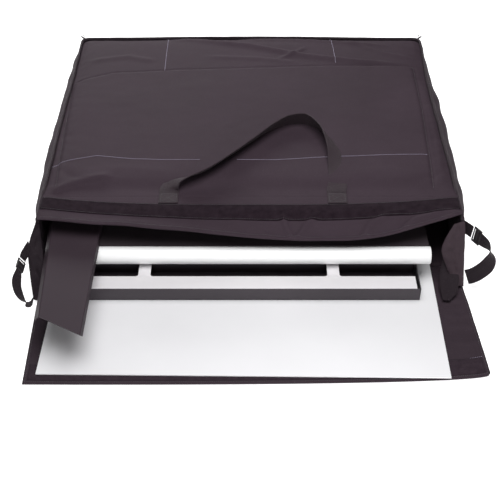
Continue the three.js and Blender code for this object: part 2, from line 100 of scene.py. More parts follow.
bpy.ops.object.select_all(action="DESELECT")
bpy.ops.mesh.primitive_plane_add(size=14.0, location=(0.0, 0.0, -0.0006))
floor = bpy.context.active_object
floor.name = "studio_floor"
floor_paint = bpy.data.materials.new("studio_floor")
floor_paint.use_nodes = True
paint = floor_paint.node_tree.nodes["Principled BSDF"]
paint.inputs["Base Color"].default_value = (0.93, 0.93, 0.93, 1.0)
paint.inputs["Roughness"].default_value = 0.9
paint.inputs["Specular IOR Level"].default_value = 0.1
paint.inputs["Emission Color"].default_value = (1.0, 1.0, 1.0, 1.0)
paint.inputs["Emission Strength"].default_value = 0.7
floor.data.materials.append(floor_paint)

# Bag walls: one long strip of padded nylon runs from the mouth round the back to the mouth
# again. It is cut from woven cloth laid over thin foam, and sewn into the binding at the top
# and to the base panel at the bottom, so it bellies out a little between the two.
MM = 0.001
base_low, base_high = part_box("base_panel")
wall_foot_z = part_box("gusset_left")[0].z
mouth_y = base_low.y
back_y = base_high.y
bag_half = 0.540
side_bow = 14 * MM
top_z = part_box("top_panel")[1].z
wall_thick = 5 * MM
corner_round = 20 * MM


def half_width(y):
    """Half the bag's width: the long sides bow outwards between the corners."""
    return bag_half + side_bow * (1.0 - (y / back_y) ** 2)


def smooth(low, high, value):
    """0 before low, 1 after high, and an even curve between."""
    t = min(max((value - low) / (high - low), 0.0), 1.0)
    return t * t * (3.0 - 2.0 * t)


def lerp(a, b, t):
    return a + (b - a) * t


def deselect():
    if bpy.context.object and bpy.context.object.mode != "OBJECT":
        bpy.ops.object.mode_set(mode="OBJECT")
    bpy.ops.object.select_all(action="DESELECT")


def take(piece):
    """Makes one piece the selected and active one."""
    deselect()
    piece.select_set(True)
    bpy.context.view_layer.objects.active = piece


def apply_modifier(piece, kind, **settings):
    """Adds a modifier with its settings and applies it."""
    modifier = piece.modifiers.new(kind.lower(), kind)
    for key, value in settings.items():
        setattr(modifier, key, value)
    take(piece)
    bpy.ops.object.modifier_apply(modifier=modifier.name)


def cut_cloth(name, columns, rows, cut, place):
    """A rectangle of cloth of the cut's width and length, laid where place(u, v) says.
    Its UV map measures the cloth in metres, so that a weave follows it."""
    deselect()
    bpy.ops.mesh.primitive_grid_add(x_subdivisions=columns, y_subdivisions=rows, size=1.0)
    piece = bpy.context.active_object
    piece.name = name
    piece.data.name = name
    for point in piece.data.uv_layers[0].data:
        point.uv = (point.uv[0] * cut[0], point.uv[1] * cut[1])
    spots = [(v.co.x + 0.5, v.co.y + 0.5) for v in piece.data.vertices]
    for vertex, (u, v) in zip(piece.data.vertices, spots):
        vertex.co = place(u, v)
    piece.data.update()
    return piece, spots


def sewn_pad(name, columns, rows, cut, face, thick=None, lining=None, free=None):
    """A pad of cloth, foam and lining: face(u, v) is its outer side, and lining(u, v) its
    inner side, or the pad is thick all over. free(u, v) says how far each point may swell."""
    piece, spots = cut_cloth(name, columns, rows, cut, face)
    count = len(spots)
    apply_modifier(piece, "SOLIDIFY", thickness=thick or 1 * MM, offset=-1.0, use_even_offset=False)
    if lining:
        for vertex, (u, v) in zip(piece.data.vertices[count:], spots):
            vertex.co = lining(u, v)
    upper = piece.vertex_groups.new(name="outer_cloth")
    upper.add(range(count), 1.0, "REPLACE")
    held = piece.vertex_groups.new(name="sewn_down")
    held.add(range(count, 2 * count), 1.0, "REPLACE")
    for index, (u, v) in enumerate(spots):
        held.add([index], 1.0 - (free(u, v) if free else 0.0), "REPLACE")
    return piece


def swell(piece, pressure, cap, slack=0.0, frames=20):
    """Lets the foam press the cloth out between its seams: a cloth simulation whose result
    is kept, with no point moved further than cap."""
    mesh = piece.data
    rest = np.empty(len(mesh.vertices) * 3)
    mesh.vertices.foreach_get("co", rest)
    rest = rest.reshape(-1, 3)
    cloth = piece.modifiers.new("foam_pressure", "CLOTH")
    cloth.settings.quality = 4
    cloth.settings.mass = 0.3
    cloth.settings.use_pressure = True
    cloth.settings.uniform_pressure_force = pressure
    cloth.settings.effector_weights.gravity = 0.0
    cloth.settings.vertex_group_mass = "sewn_down"
    cloth.settings.tension_stiffness = 20.0
    cloth.settings.compression_stiffness = 12.0
    cloth.settings.bending_stiffness = 0.6
    cloth.settings.shrink_min = -slack
    cloth.settings.use_dynamic_mesh = False
    cloth.collision_settings.use_collision = False
    cloth.point_cache.frame_start = 1
    cloth.point_cache.frame_end = frames
    for moment in range(1, frames + 1):
        scene.frame_set(moment)
    evaluated = piece.evaluated_get(bpy.context.evaluated_depsgraph_get())
    moved = np.empty(len(mesh.vertices) * 3)
    evaluated.data.vertices.foreach_get("co", moved)
    step = moved.reshape(-1, 3) - rest
    length = np.linalg.norm(step, axis=1, keepdims=True)
    limit = cap * np.tanh(length / cap) / np.maximum(length, 1e-9)
    piece.modifiers.remove(cloth)
    scene.frame_set(1)
    mesh.vertices.foreach_set("co", (rest + step * limit).ravel())
    mesh.update()


def press_out(piece, height):
    """Raises the outer cloth by height(x, y, z), after the swelling: seams, folds, creases."""
    group = piece.vertex_groups["outer_cloth"].index
    for vertex in piece.data.vertices:
        for membership in vertex.groups:
            if membership.group == group and membership.weight > 0.001:
                vertex.co.z += height(*vertex.co) * membership.weight
    piece.data.update()


def finish_pad(piece, levels=1):
    """One subdivision and smooth shading for a sewn pad."""
    if levels:
        apply_modifier(piece, "SUBSURF", levels=levels, render_levels=levels)
    take(piece)
    bpy.ops.object.shade_smooth()


def seam_half(y, side):
    """From the bag's middle to the seam along the top of one long side, a little uneven."""
    waver = 3.0 * MM * noise.noise(Vector((y * 5.5, side * 3.0, 1.5)))
    waver += 1.2 * MM * noise.noise(Vector((y * 19.0, side * 3.0, 6.5)))
    ends = smooth(0.0, 0.05, back_y - abs(y))
    spare = (13 * MM if side > 0 else 5 * MM) * smooth(0.16, 0.44, y)
    return 0.5365 + spare + (2.0 * MM * (1.0 - (y / back_y) ** 2) + waver) * ends


def round_the_back(side_x, back_line, radius):
    """A line in plan from the left of the mouth, round the back, to the right of the mouth."""
    stop = back_line - radius
    line = [(-side_x(y, -1), y) for y in np.linspace(mouth_y, stop, 100)]
    x = side_x(stop, -1)
    for turn in np.linspace(math.pi, math.pi / 2, 9)[1:-1]:
        line.append((radius - x + radius * math.cos(turn), stop + radius * math.sin(turn)))
    line += [(x, back_line) for x in np.linspace(radius - x, side_x(stop, 1) - radius, 60)]
    x = side_x(stop, 1)
    for turn in np.linspace(math.pi / 2, 0.0, 9)[1:-1]:
        line.append((x - radius + radius * math.cos(turn), stop + radius * math.sin(turn)))
    return line + [(side_x(y, 1), y) for y in np.linspace(stop, mouth_y, 100)]


def even_steps(line, count):
    """The same line at count + 1 even steps, with its length."""
    points = np.array(line, float)
    ends = np.concatenate([[0.0], np.cumsum(np.linalg.norm(np.diff(points, axis=0), axis=1))])
    at = np.linspace(0.0, ends[-1], count + 1)
    return np.stack([np.interp(at, ends, points[:, k]) for k in range(points.shape[1])], 1), ends[-1]


wall_columns = 240
seam_line, _ = even_steps(round_the_back(seam_half, back_y - 3.5 * MM, corner_round), wall_columns)
foot_line, wall_length = even_steps(
    round_the_back(lambda y, side: half_width(y) - 3 * MM, back_y - 2 * MM, corner_round), wall_columns)
wall_out = np.zeros_like(foot_line)
wall_out[1:-1] = foot_line[2:] - foot_line[:-2]
wall_out[0] = foot_line[1] - foot_line[0]
wall_out[-1] = foot_line[-1] - foot_line[-2]
wall_out = np.stack([-wall_out[:, 1], wall_out[:, 0]], 1)
wall_out /= np.linalg.norm(wall_out, axis=1, keepdims=True)


def wall_face(u, v):
    i = min(int(round(u * wall_columns)), wall_columns)
    x, y = lerp(foot_line[i], seam_line[i], smooth(0.80, 1.0, v))
    out = wall_out[i]
    z = lerp(wall_foot_z - 3 * MM, top_z - 8 * MM, v)
    belly = smooth(0.0, 0.66, v) * (1.0 - smooth(0.80, 1.0, v)) + 0.25 * math.sin(math.pi * v)
    drape = noise.noise(Vector((u * 46.0, v * 1.6, 3.1))) * 3.6 * MM
    drape += noise.noise(Vector((u * 17.0, v * 2.2, 8.7))) * 5.0 * MM
    open_end = smooth(0.0, 0.03, min(u, 1.0 - u))
    side_wall = abs(out[0]) * smooth(0.0, 0.10, back_y - abs(y))
    swing = belly * open_end * (lerp(2.0, 11.0, side_wall) * MM + drape)
    return Vector((x + out[0] * swing, y + out[1] * swing, z))


def wall_free(u, v):
    return 0.0 if min(v, 1 - v) < 0.04 or min(u, 1 - u) < 0.004 else 1.0


walls = sewn_pad("bag_walls", wall_columns, 22, (wall_length, 0.15), wall_face,
                 thick=wall_thick, free=wall_free)
swell(walls, 2.2, 7 * MM, slack=0.006)
finish_pad(walls, 1)


def new_material(name):
    """A material with its node tree, and the shader that takes its values."""
    made = bpy.data.materials.new(name)
    made.use_nodes = True
    return made, made.node_tree, made.node_tree.nodes["Principled BSDF"]


def socket(group, name, into, kind="NodeSocketFloat", start=None):
    made = group.interface.new_socket(name=name, in_out="INPUT" if into else "OUTPUT", socket_type=kind)
    if start is not None:
        made.default_value = start


def sums(tree, operation, first, second=None, clamp=False, third=None):
    """A Math node on up to three sockets or numbers, and its result."""
    node = tree.nodes.new("ShaderNodeMath")
    node.operation = operation
    node.use_clamp = clamp
    for slot, value in enumerate((first, second, third)):
        if value is None:
            continue
        if isinstance(value, (int, float)):
            node.inputs[slot].default_value = value
        else:
            tree.links.new(value, node.inputs[slot])
    return node.outputs[0]


def speckle(tree, where, scale, detail=3.0, rough=0.55, stretch=None):
    """A noise texture's value over a position."""
    if stretch:
        mapping = tree.nodes.new("ShaderNodeMapping")
        mapping.inputs["Scale"].default_value = stretch
        tree.links.new(where, mapping.inputs["Vector"])
        where = mapping.outputs[0]
    node = tree.nodes.new("ShaderNodeTexNoise")
    node.inputs["Scale"].default_value = scale
    node.inputs["Detail"].default_value = detail
    node.inputs["Roughness"].default_value = rough
    tree.links.new(where, node.inputs["Vector"])
    return node.outputs["Fac"]


# The plain weave that every cloth here shows, with the slubs of its uneven yarn.
plain_weave = bpy.data.node_groups.new("plain_weave", "ShaderNodeTree")
socket(plain_weave, "Cloth", True, "NodeSocketVector")
socket(plain_weave, "Threads per metre", True, start=700.0)
socket(plain_weave, "Height", False)
socket(plain_weave, "Slub", False)
weave_in = plain_weave.nodes.new("NodeGroupInput")
weave_out = plain_weave.nodes.new("NodeGroupOutput")
split = plain_weave.nodes.new("ShaderNodeSeparateXYZ")
plain_weave.links.new(weave_in.outputs["Cloth"], split.inputs[0])
turns = sums(plain_weave, "MULTIPLY", weave_in.outputs["Threads per metre"], math.pi)
warp = sums(plain_weave, "SINE", sums(plain_weave, "MULTIPLY", split.outputs["X"], turns))
weft = sums(plain_weave, "SINE", sums(plain_weave, "MULTIPLY", split.outputs["Y"], turns))
over = sums(plain_weave, "MULTIPLY", warp, weft)
plain_weave.links.new(sums(plain_weave, "MULTIPLY_ADD", over, 0.5, third=0.5), weave_out.inputs["Height"])
slub_x = speckle(plain_weave, weave_in.outputs["Cloth"], 1.0, 2.0, 0.5, (900.0, 30.0, 1.0))
slub_y = speckle(plain_weave, weave_in.outputs["Cloth"], 1.0, 2.0, 0.5, (30.0, 900.0, 1.0))
plain_weave.links.new(sums(plain_weave, "MULTIPLY", sums(plain_weave, "ADD", slub_x, slub_y), 0.5),
                      weave_out.inputs["Slub"])

# Handling marks: soft clouds and a fine dust that lie over any of the finishes.
handling = bpy.data.node_groups.new("handling", "ShaderNodeTree")
socket(handling, "Place", True, "NodeSocketVector")
socket(handling, "Cloud size", True, start=5.0)
socket(handling, "Clouds", False)
socket(handling, "Dust", False)
handling_in = handling.nodes.new("NodeGroupInput")
handling_out = handling.nodes.new("NodeGroupOutput")
cloud = handling.nodes.new("ShaderNodeTexNoise")
cloud.inputs["Detail"].default_value = 4.0
cloud.inputs["Roughness"].default_value = 0.6
handling.links.new(handling_in.outputs["Place"], cloud.inputs["Vector"])
handling.links.new(handling_in.outputs["Cloud size"], cloud.inputs["Scale"])
handling.links.new(cloud.outputs["Fac"], handling_out.inputs["Clouds"])
dust = speckle(handling, handling_in.outputs["Place"], 260.0, 2.0, 0.7)
handling.links.new(sums(handling, "MULTIPLY", sums(handling, "SUBTRACT", dust, 0.62, True), 4.0, True),
                   handling_out.inputs["Dust"])


def use_group(tree, group, **values):
    node = tree.nodes.new("ShaderNodeGroup")
    node.node_tree = group
    for key, value in values.items():
        target = node.inputs[key.replace("_", " ")]
        if hasattr(value, "links"):
            tree.links.new(value, target)
        else:
            target.default_value = value
    return node


def two_tones(tree, dark, light, factor):
    """Mixes two colours by a factor."""
    node = tree.nodes.new("ShaderNodeMix")
    node.data_type = "RGBA"
    node.clamp_factor = True
    for target, value in ((6, dark), (7, light)):
        if hasattr(value, "links"):
            tree.links.new(value, node.inputs[target])
        else:
            node.inputs[target].default_value = (*value, 1.0)
    tree.links.new(factor, node.inputs[0])
    return node.outputs[2]


def raise_surface(tree, shader, height, distance, strength=1.0):
    bump = tree.nodes.new("ShaderNodeBump")
    bump.inputs["Distance"].default_value = distance
    bump.inputs["Strength"].default_value = strength
    tree.links.new(height, bump.inputs["Height"])
    tree.links.new(bump.outputs["Normal"], shader.inputs["Normal"])


def spread(tree, value, low, high):
    """Stretches a value's middle range from 0 to 1."""
    node = tree.nodes.new("ShaderNodeMapRange")
    node.inputs["From Min"].default_value = low
    node.inputs["From Max"].default_value = high
    tree.links.new(value, node.inputs["Value"])
    return node.outputs[0]


def nylon_cloth(name, dark, light, threads=700.0, sheen=0.03, cloud=4.0):
    """Coated woven nylon: a plain weave with a soft sheen, clouded by handling and dust."""
    made, tree, shader = new_material(name)
    coords = tree.nodes.new("ShaderNodeTexCoord")
    weave = use_group(tree, plain_weave, Cloth=coords.outputs["UV"], Threads_per_metre=threads)
    marks = use_group(tree, handling, Place=coords.outputs["Object"], Cloud_size=cloud)
    tone = sums(tree, "ADD", sums(tree, "MULTIPLY", marks.outputs["Clouds"], 0.75),
                sums(tree, "MULTIPLY", weave.outputs["Slub"], 0.55))
    ground = two_tones(tree, dark, light, spread(tree, tone, 0.42, 0.88))
    thread = sums(tree, "MULTIPLY", spread(tree, weave.outputs["Height"], -0.5, 0.5), 0.35)
    ground = two_tones(tree, ground, tuple(1.2 * c for c in light), thread)
    ground = two_tones(tree, ground, (0.20, 0.18, 0.19), sums(tree, "MULTIPLY", marks.outputs["Dust"], 0.16))
    tree.links.new(ground, shader.inputs["Base Color"])
    rough = spread(tree, marks.outputs["Clouds"], -0.6, 1.2)
    tree.links.new(sums(tree, "MULTIPLY_ADD", rough, 0.34, third=0.5), shader.inputs["Roughness"])
    shader.inputs["Sheen Weight"].default_value = sheen
    shader.inputs["Sheen Roughness"].default_value = 0.45
    shader.inputs["Sheen Tint"].default_value = (0.85, 0.72, 0.80, 1.0)
    shader.inputs["Specular IOR Level"].default_value = 0.08
    height = sums(tree, "ADD", weave.outputs["Height"], sums(tree, "MULTIPLY", weave.outputs["Slub"], 0.8))
    raise_surface(tree, shader, height, 0.00022, 0.8)
    return made


def wear(piece, material):
    piece.data.materials.clear()
    piece.data.materials.append(material)


def settle(piece, material, body, slot, *nodes):
    """Gives a piece its finish, the body that it rides on when one is given, the parts that it
    stands for, and its slot."""
    wear(piece, material)
    if body:
        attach(piece, body)
    if nodes:
        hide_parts(*nodes)


wall_nylon = nylon_cloth("wall_nylon", (0.020, 0.013, 0.018), (0.036, 0.025, 0.032))
settle(walls, wall_nylon, "bag", "nylon_base", "gusset_left", "gusset_right", "gusset_back")

# Base panel: the bag lies on it. It is the same nylon over 8 mm foam, closed with a lining,
# and its rim is sewn to the walls.


def base_spot(u, v, shrink):
    y = lerp(mouth_y + shrink, back_y - shrink, v)
    x = (2 * u - 1) * (half_width(y) - shrink)
    far = back_y - shrink - y
    if far < corner_round:
        x = math.copysign(min(abs(x), half_width(y) - shrink - corner_round
                              + math.sqrt(max(corner_round ** 2 - (corner_round - far) ** 2, 0.0))), x)
    return x, y


def base_face(u, v):
    x, y = base_spot(u, v, 1 * MM)
    rim = min(min(u, 1 - u) * 1.08, min(v, 1 - v) * 0.94)
    return Vector((x, y, base_high.z - 2.4 * MM * (1 - smooth(0.0, 0.012, rim))))


def base_lining(u, v):
    x, y = base_spot(u, v, 1 * MM)
    rim = min(min(u, 1 - u) * 1.08, min(v, 1 - v) * 0.94)
    return Vector((x, y, base_low.z + 2.4 * MM * (1 - smooth(0.0, 0.012, rim))))


base = sewn_pad("bag_base", 96, 84, (1.08, 0.94), base_face, lining=base_lining)
finish_pad(base, 0)
settle(base, wall_nylon, "bag", "nylon_base", "base_panel")

# Top panel and hem: one sheet of nylon over 12 mm foam, with a pocket for the stiffener that
# stands out as a flat rectangle. Its front runs on as an unpadded hem, which sags over the
# mouth between the corners and can be lifted.
panel_low, panel_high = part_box("top_panel")
hem_back_y = panel_low.y
panel_back_y = panel_high.y
hem_half = 0.5368
hem_pad = 5 * MM
leg_face_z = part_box("leg_outer_left")[1].z
lip_low_z = leg_face_z + hem_pad + 8 * MM
lip_points = [
    (-1.0, 6, 0.06), (-0.725, 23, 0.06), (-0.37, 34, 0.34), (-0.04, 43, 0.78),
    (0.22, 46, 1.0), (0.56, 43, 0.92), (0.76, 26, 0.4), (1.0, -16, 0.03),
]


def smooth_line(points, steps):
    """A centripetal curve through points, at even shares of its spans."""
    spots = [np.array(p, float) for p in points]
    spots = [2 * spots[0] - spots[1]] + spots + [2 * spots[-1] - spots[-2]]
    spans = len(spots) - 3
    found = []
    for i in range(steps + 1):
        place = min(i / steps * spans, spans - 1e-9)
        k = int(place)
        t = place - k
        p0, p1, p2, p3 = spots[k:k + 4]
        d0, d1, d2 = (max(np.linalg.norm(b - a) ** 0.5, 1e-4) for a, b in ((p0, p1), (p1, p2), (p2, p3)))
        m1 = ((p1 - p0) / d0 - (p2 - p0) / (d0 + d1) + (p2 - p1) / d1) * d1
        m2 = ((p2 - p1) / d1 - (p3 - p1) / (d1 + d2) + (p3 - p2) / d2) * d1
        a = 2 * p1 - 2 * p2 + m1 + m2
        b = -3 * p1 + 3 * p2 - 2 * m1 - m2
        found.append(((a * t + b) * t + m1) * t + p1)
    return found


lip = np.array(smooth_line([
    (across * hem_half, mouth_y - out * MM, lerp(top_z, lip_low_z, sag)) for across, out, sag in lip_points
], 400))


lip[1:-1, 1] += [2.6 * MM * noise.noise(Vector((x * 11.0, 3.0, 0.0))) for x in lip[1:-1, 0]]
lip[1:-1, 2] += [1.8 * MM * noise.noise(Vector((x * 9.0, 8.0, 0.0))) for x in lip[1:-1, 0]]


def lip_at(x):
    """The lip's depth and height over a place across the bag."""
    return np.interp(x, lip[:, 0], lip[:, 1]), np.interp(x, lip[:, 0], lip[:, 2])


hem_rows = 24
panel_rows = 86
cover_rows = hem_rows + panel_rows
cover_columns = 108


def cover_spot(u, v):
    """A place on the cover: (x, y, z) and how far along the hem, 0 at the lip."""
    row = v * cover_rows
    if row < hem_rows:
        t = 1.0 - row / hem_rows
        x = (2 * u - 1) * hem_half
        edge_y, edge_z = lip_at(x)
        y = lerp(hem_back_y, edge_y, t)
        return x, y, lerp(top_z, edge_z, smooth(0.42, 1.0, t)), t
    y = lerp(hem_back_y, panel_back_y, (row - hem_rows) / panel_rows)
    near = smooth(0.0, 0.06, y - hem_back_y)
    left = lerp(-hem_half, -seam_half(y, -1) + 3 * MM, near)
    right = lerp(hem_half, seam_half(y, 1) - 3 * MM, near)
    into = corner_round - (panel_back_y - y)
    if into > 0.0:
        cut = corner_round - math.sqrt(max(corner_round ** 2 - into ** 2, 0.0))
        left, right = left + cut, right - cut
    return lerp(left, right, u), y, top_z, 0.0


def cover_edge(u, v):
    x, y, z, t = cover_spot(u, v)
    return x, y, z, t, min(u, 1 - u) * 1.07, panel_back_y - y


def cover_face(u, v):
    x, y, z, t, side, back = cover_edge(u, v)
    soft = smooth(0.0, 0.05, y - hem_back_y)
    fall = lerp(2.5, 7.0, soft) * MM * (1 - smooth(0.0, 20 * MM, min(side, back)))
    crown = 2.5 * MM * smooth(0.0, 0.14, min(side, back)) * smooth(0.0, 0.10, y - hem_back_y)
    crown += 4.0 * MM * smooth(0.05, 0.45, side) * smooth(-0.12, 0.0, -back)
    return Vector((x, y, z - fall + crown))


def cover_lining(u, v):
    x, y, z, t, side, back = cover_edge(u, v)
    thick = lerp(12 * MM, hem_pad, smooth(0.0, 0.25, t))
    return Vector((x, y, z - thick + 2.0 * MM * (1 - smooth(0.0, 16 * MM, min(side, back)))))


def cover_free(u, v):
    x, y, z, t, side, back = cover_edge(u, v)
    if side < 6 * MM or back < 6 * MM:
        return 0.0
    if t > 0.0:
        return 0.0 if t > 0.97 or t < 0.5 else 0.5
    return smooth(0.0, 0.06, y - hem_back_y)


cover = sewn_pad("top_cover", cover_columns, cover_rows, (1.08, 0.96), cover_face,
                 lining=cover_lining, free=cover_free)
swell(cover, 2.6, 6 * MM, slack=0.004)
finish_pad(cover, 1)

pocket_back = [(-0.560, 0.172), (-0.412, 0.227), (-0.215, 0.245), (0.0, 0.257), (0.247, 0.270), (0.56, 0.270)]
pocket_left = [(-0.400, -0.505), (-0.202, -0.516), (-0.026, -0.525), (0.179, -0.534)]
pocket_right = [(-0.400, 0.475), (-0.202, 0.486), (0.027, 0.498), (0.270, 0.503)]
pocket_front = -0.386


def along(points, value):
    return float(np.interp(value, [p[0] for p in points], [p[1] for p in points]))


def pocket_depth(x, y):
    """How far inside the stiffener's pocket a place is."""
    return min(x - along(pocket_left, y), along(pocket_right, y) - x, along(pocket_back, x) - y,
               (y - pocket_front) * 1.5)


def off_line(x, y, line):
    """Distance from a broken line, on which side of it, and how far along it, 0 to 1."""
    best = (9.0, 1.0, 0.0)
    spans = len(line) - 1
    for k in range(spans):
        (ax, ay), (bx, by) = line[k], line[k + 1]
        dx, dy = bx - ax, by - ay
        t = min(max(((x - ax) * dx + (y - ay) * dy) / (dx * dx + dy * dy), 0.0), 1.0)
        gap = math.hypot(x - ax - t * dx, y - ay - t * dy)
        if gap < best[0]:
            best = (gap, 1.0 if dx * (y - ay) - dy * (x - ax) > 0 else -1.0, (k + t) / spans)
    return best


# Each fold: its line in plan, height, and how wide it is on its right and left hand.
folds = [
    ([(-0.300, 0.455), (-0.172, 0.445), (0.0, 0.403), (0.163, 0.338), (0.327, 0.301),
      (0.500, 0.282)], 8.0, 18, 7),
    ([(-0.060, 0.462), (0.100, 0.452), (0.226, 0.440), (0.464, 0.400)], 6.4, 15, 7),
    ([(0.085, 0.315), (0.119, 0.332), (0.185, 0.397)], 3.6, 9, 6),
    ([(-0.520, 0.300), (-0.380, 0.330), (-0.290, 0.300)], 3.4, 16, 11),
    ([(-0.160, 0.330), (0.020, 0.318), (0.150, 0.292)], 3.0, 14, 10),
    ([(0.300, 0.440), (0.420, 0.350), (0.520, 0.320)], 3.6, 13, 8),
    ([(-0.540, 0.130), (-0.540, 0.000), (-0.528, -0.150), (-0.524, -0.260)], 3.5, 7, 9),
    ([(0.520, 0.210), (0.524, 0.060), (0.520, -0.140), (0.508, -0.300)], 2.6, 8, 9),
    ([(-0.517, -0.378), (-0.480, -0.350), (-0.440, -0.334), (-0.401, -0.323),
      (-0.352, -0.317)], 9.5, 3.5, 20),
    ([(-0.100, 0.100), (0.100, 0.060), (0.310, -0.020), (0.420, -0.050)], 1.1, 40, 30),
    ([(-0.430, 0.060), (-0.250, 0.110), (-0.080, 0.190)], 1.0, 40, 34),
    ([(-0.480, -0.300), (-0.330, -0.275), (-0.180, -0.300)], 1.6, 20, 16),
    ([(0.240, -0.300), (0.350, -0.285), (0.460, -0.305)], 1.4, 22, 16),
]
hem_folds = [
    ([(0.078, -0.452), (0.094, -0.487), (0.106, -0.516)], 6.5, 8, 6),
    ([(0.180, -0.448), (0.140, -0.480), (0.110, -0.518)], 6.0, 6, 9),
    ([(0.278, -0.516), (0.300, -0.480), (0.345, -0.456), (0.410, -0.444)], 6.5, 9, 7),
    ([(0.375, -0.498), (0.420, -0.466), (0.490, -0.448)], 5.0, 8, 7),
    ([(-0.060, -0.470), (0.020, -0.492), (0.070, -0.520)], 2.6, 9, 9),
    ([(-0.300, -0.500), (-0.150, -0.494), (0.0, -0.502)], 1.6, 9, 9),
    ([(-0.480, -0.480), (-0.330, -0.486), (-0.180, -0.484)], 1.3, 9, 9),
    ([(0.440, -0.430), (0.500, -0.446), (0.538, -0.450)], 3.0, 9, 8),
]


def fold_height(x, y, lines):
    total = 0.0
    for line, height, right, left in lines:
        gap, side, share = off_line(x, y, line)
        width = (left if side > 0 else right) * MM
        if gap < 3.2 * width:
            fade = smooth(0.0, 0.18, share) * smooth(0.0, 0.18, 1.0 - share)
            total += height * MM * math.exp(-(gap / width) ** 2) * fade
    return total


def cover_relief(x, y, _):
    depth = pocket_depth(x, y)
    flat = smooth(-0.362, -0.315, y)
    rise = lerp(0.0, 4.4, flat) * MM * smooth(0.0, 8 * MM, depth)
    groove = -2.0 * MM * math.exp(-((depth + 3 * MM) / (4 * MM)) ** 2)
    if y < hem_back_y + 0.03:
        groove *= 0.3
    ripple = noise.noise(Vector((x * 7.0, y * 9.0, 0.3))) * 1.2 * MM
    ripple += noise.noise(Vector((x * 26.0, y * 31.0, 4.0))) * 0.45 * MM
    quiet = 0.35 if y < hem_back_y else 1.0
    lines = folds if y > -0.41 else hem_folds
    side_gap = hem_half - abs(x)
    rim = smooth(0.0, 12 * MM, min(side_gap, panel_back_y - y))
    return (rise + groove + quiet * ripple + fold_height(x, y, lines)) * rim


press_out(cover, cover_relief)

top_nylon = nylon_cloth("top_nylon", (0.023, 0.015, 0.020), (0.045, 0.031, 0.041))
settle(cover, top_nylon, None, "nylon_top", "top_panel", "mouth_hem")


def lift_with_hem(piece):
    """Bakes the placement of a piece that lies over the hem's hinge into its mesh."""
    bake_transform(piece)


lift_with_hem(cover)

# Stiffener: a black plastic sheet, cut to size and slid into the pocket under the top foam.
# It keeps the panel flat while the bag is carried.
def plastic(name, dark, light, roughness, grain=900.0, depth=0.00005):
    """Moulded or sheet plastic with a fine spark-eroded grain and rubbed, cloudy gloss."""
    made, tree, shader = new_material(name)
    coords = tree.nodes.new("ShaderNodeTexCoord")
    marks = use_group(tree, handling, Place=coords.outputs["Object"], Cloud_size=14.0)
    tree.links.new(two_tones(tree, dark, light, spread(tree, marks.outputs["Clouds"], 0.3, 0.75)),
                   shader.inputs["Base Color"])
    rubbed = spread(tree, marks.outputs["Clouds"], 0.2, 0.8)
    tree.links.new(sums(tree, "MULTIPLY_ADD", rubbed, 0.14, third=roughness), shader.inputs["Roughness"])
    raise_surface(tree, shader, speckle(tree, coords.outputs["Object"], grain, 2.0), depth, 0.6)
    return made


stiffener_sheet = plastic("stiffener_sheet", (0.028, 0.026, 0.028), (0.044, 0.041, 0.044), 0.5)
wear(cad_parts["top_stiffener"], stiffener_sheet)

# Edge bindings: a ribbed nylon tape folded over the raw edges where top and walls meet, and
# sewn through. The side and back tapes cross at the two back corners, where their cut ends
# stand up as small frayed tufts.
def webbing_cloth(name, dark, light, rib):
    """Woven nylon webbing: ribs across the band, warp threads along it, and selvedges."""
    made, tree, shader = new_material(name)
    coords = tree.nodes.new("ShaderNodeTexCoord")
    parts = tree.nodes.new("ShaderNodeSeparateXYZ")
    tree.links.new(coords.outputs["UV"], parts.inputs[0])
    ribs = sums(tree, "SINE", sums(tree, "MULTIPLY", parts.outputs["Y"], 2 * math.pi / rib))
    warps = sums(tree, "SINE", sums(tree, "MULTIPLY", parts.outputs["X"], 2 * math.pi / (rib * 0.55)))
    height = sums(tree, "ADD", sums(tree, "MULTIPLY", ribs, 0.6), sums(tree, "MULTIPLY", warps, 0.4))
    marks = use_group(tree, handling, Place=coords.outputs["Object"], Cloud_size=18.0)
    tone = sums(tree, "ADD", spread(tree, height, -1.6, 2.2),
                sums(tree, "MULTIPLY", marks.outputs["Clouds"], 0.5))
    ground = two_tones(tree, dark, light, spread(tree, tone, 0.35, 1.05))
    ground = two_tones(tree, ground, (0.22, 0.20, 0.21), sums(tree, "MULTIPLY", marks.outputs["Dust"], 0.12))
    tree.links.new(ground, shader.inputs["Base Color"])
    shader.inputs["Roughness"].default_value = 0.62
    shader.inputs["Sheen Weight"].default_value = 0.06
    shader.inputs["Sheen Roughness"].default_value = 0.4
    shader.inputs["Sheen Tint"].default_value = (0.85, 0.74, 0.80, 1.0)
    shader.inputs["Specular IOR Level"].default_value = 0.15
    raise_surface(tree, shader, height, 0.0003, 0.9)
    return made


binding_webbing = webbing_cloth("binding_webbing", (0.024, 0.017, 0.022), (0.050, 0.037, 0.045), 0.0014)


steps_per_metre = 110


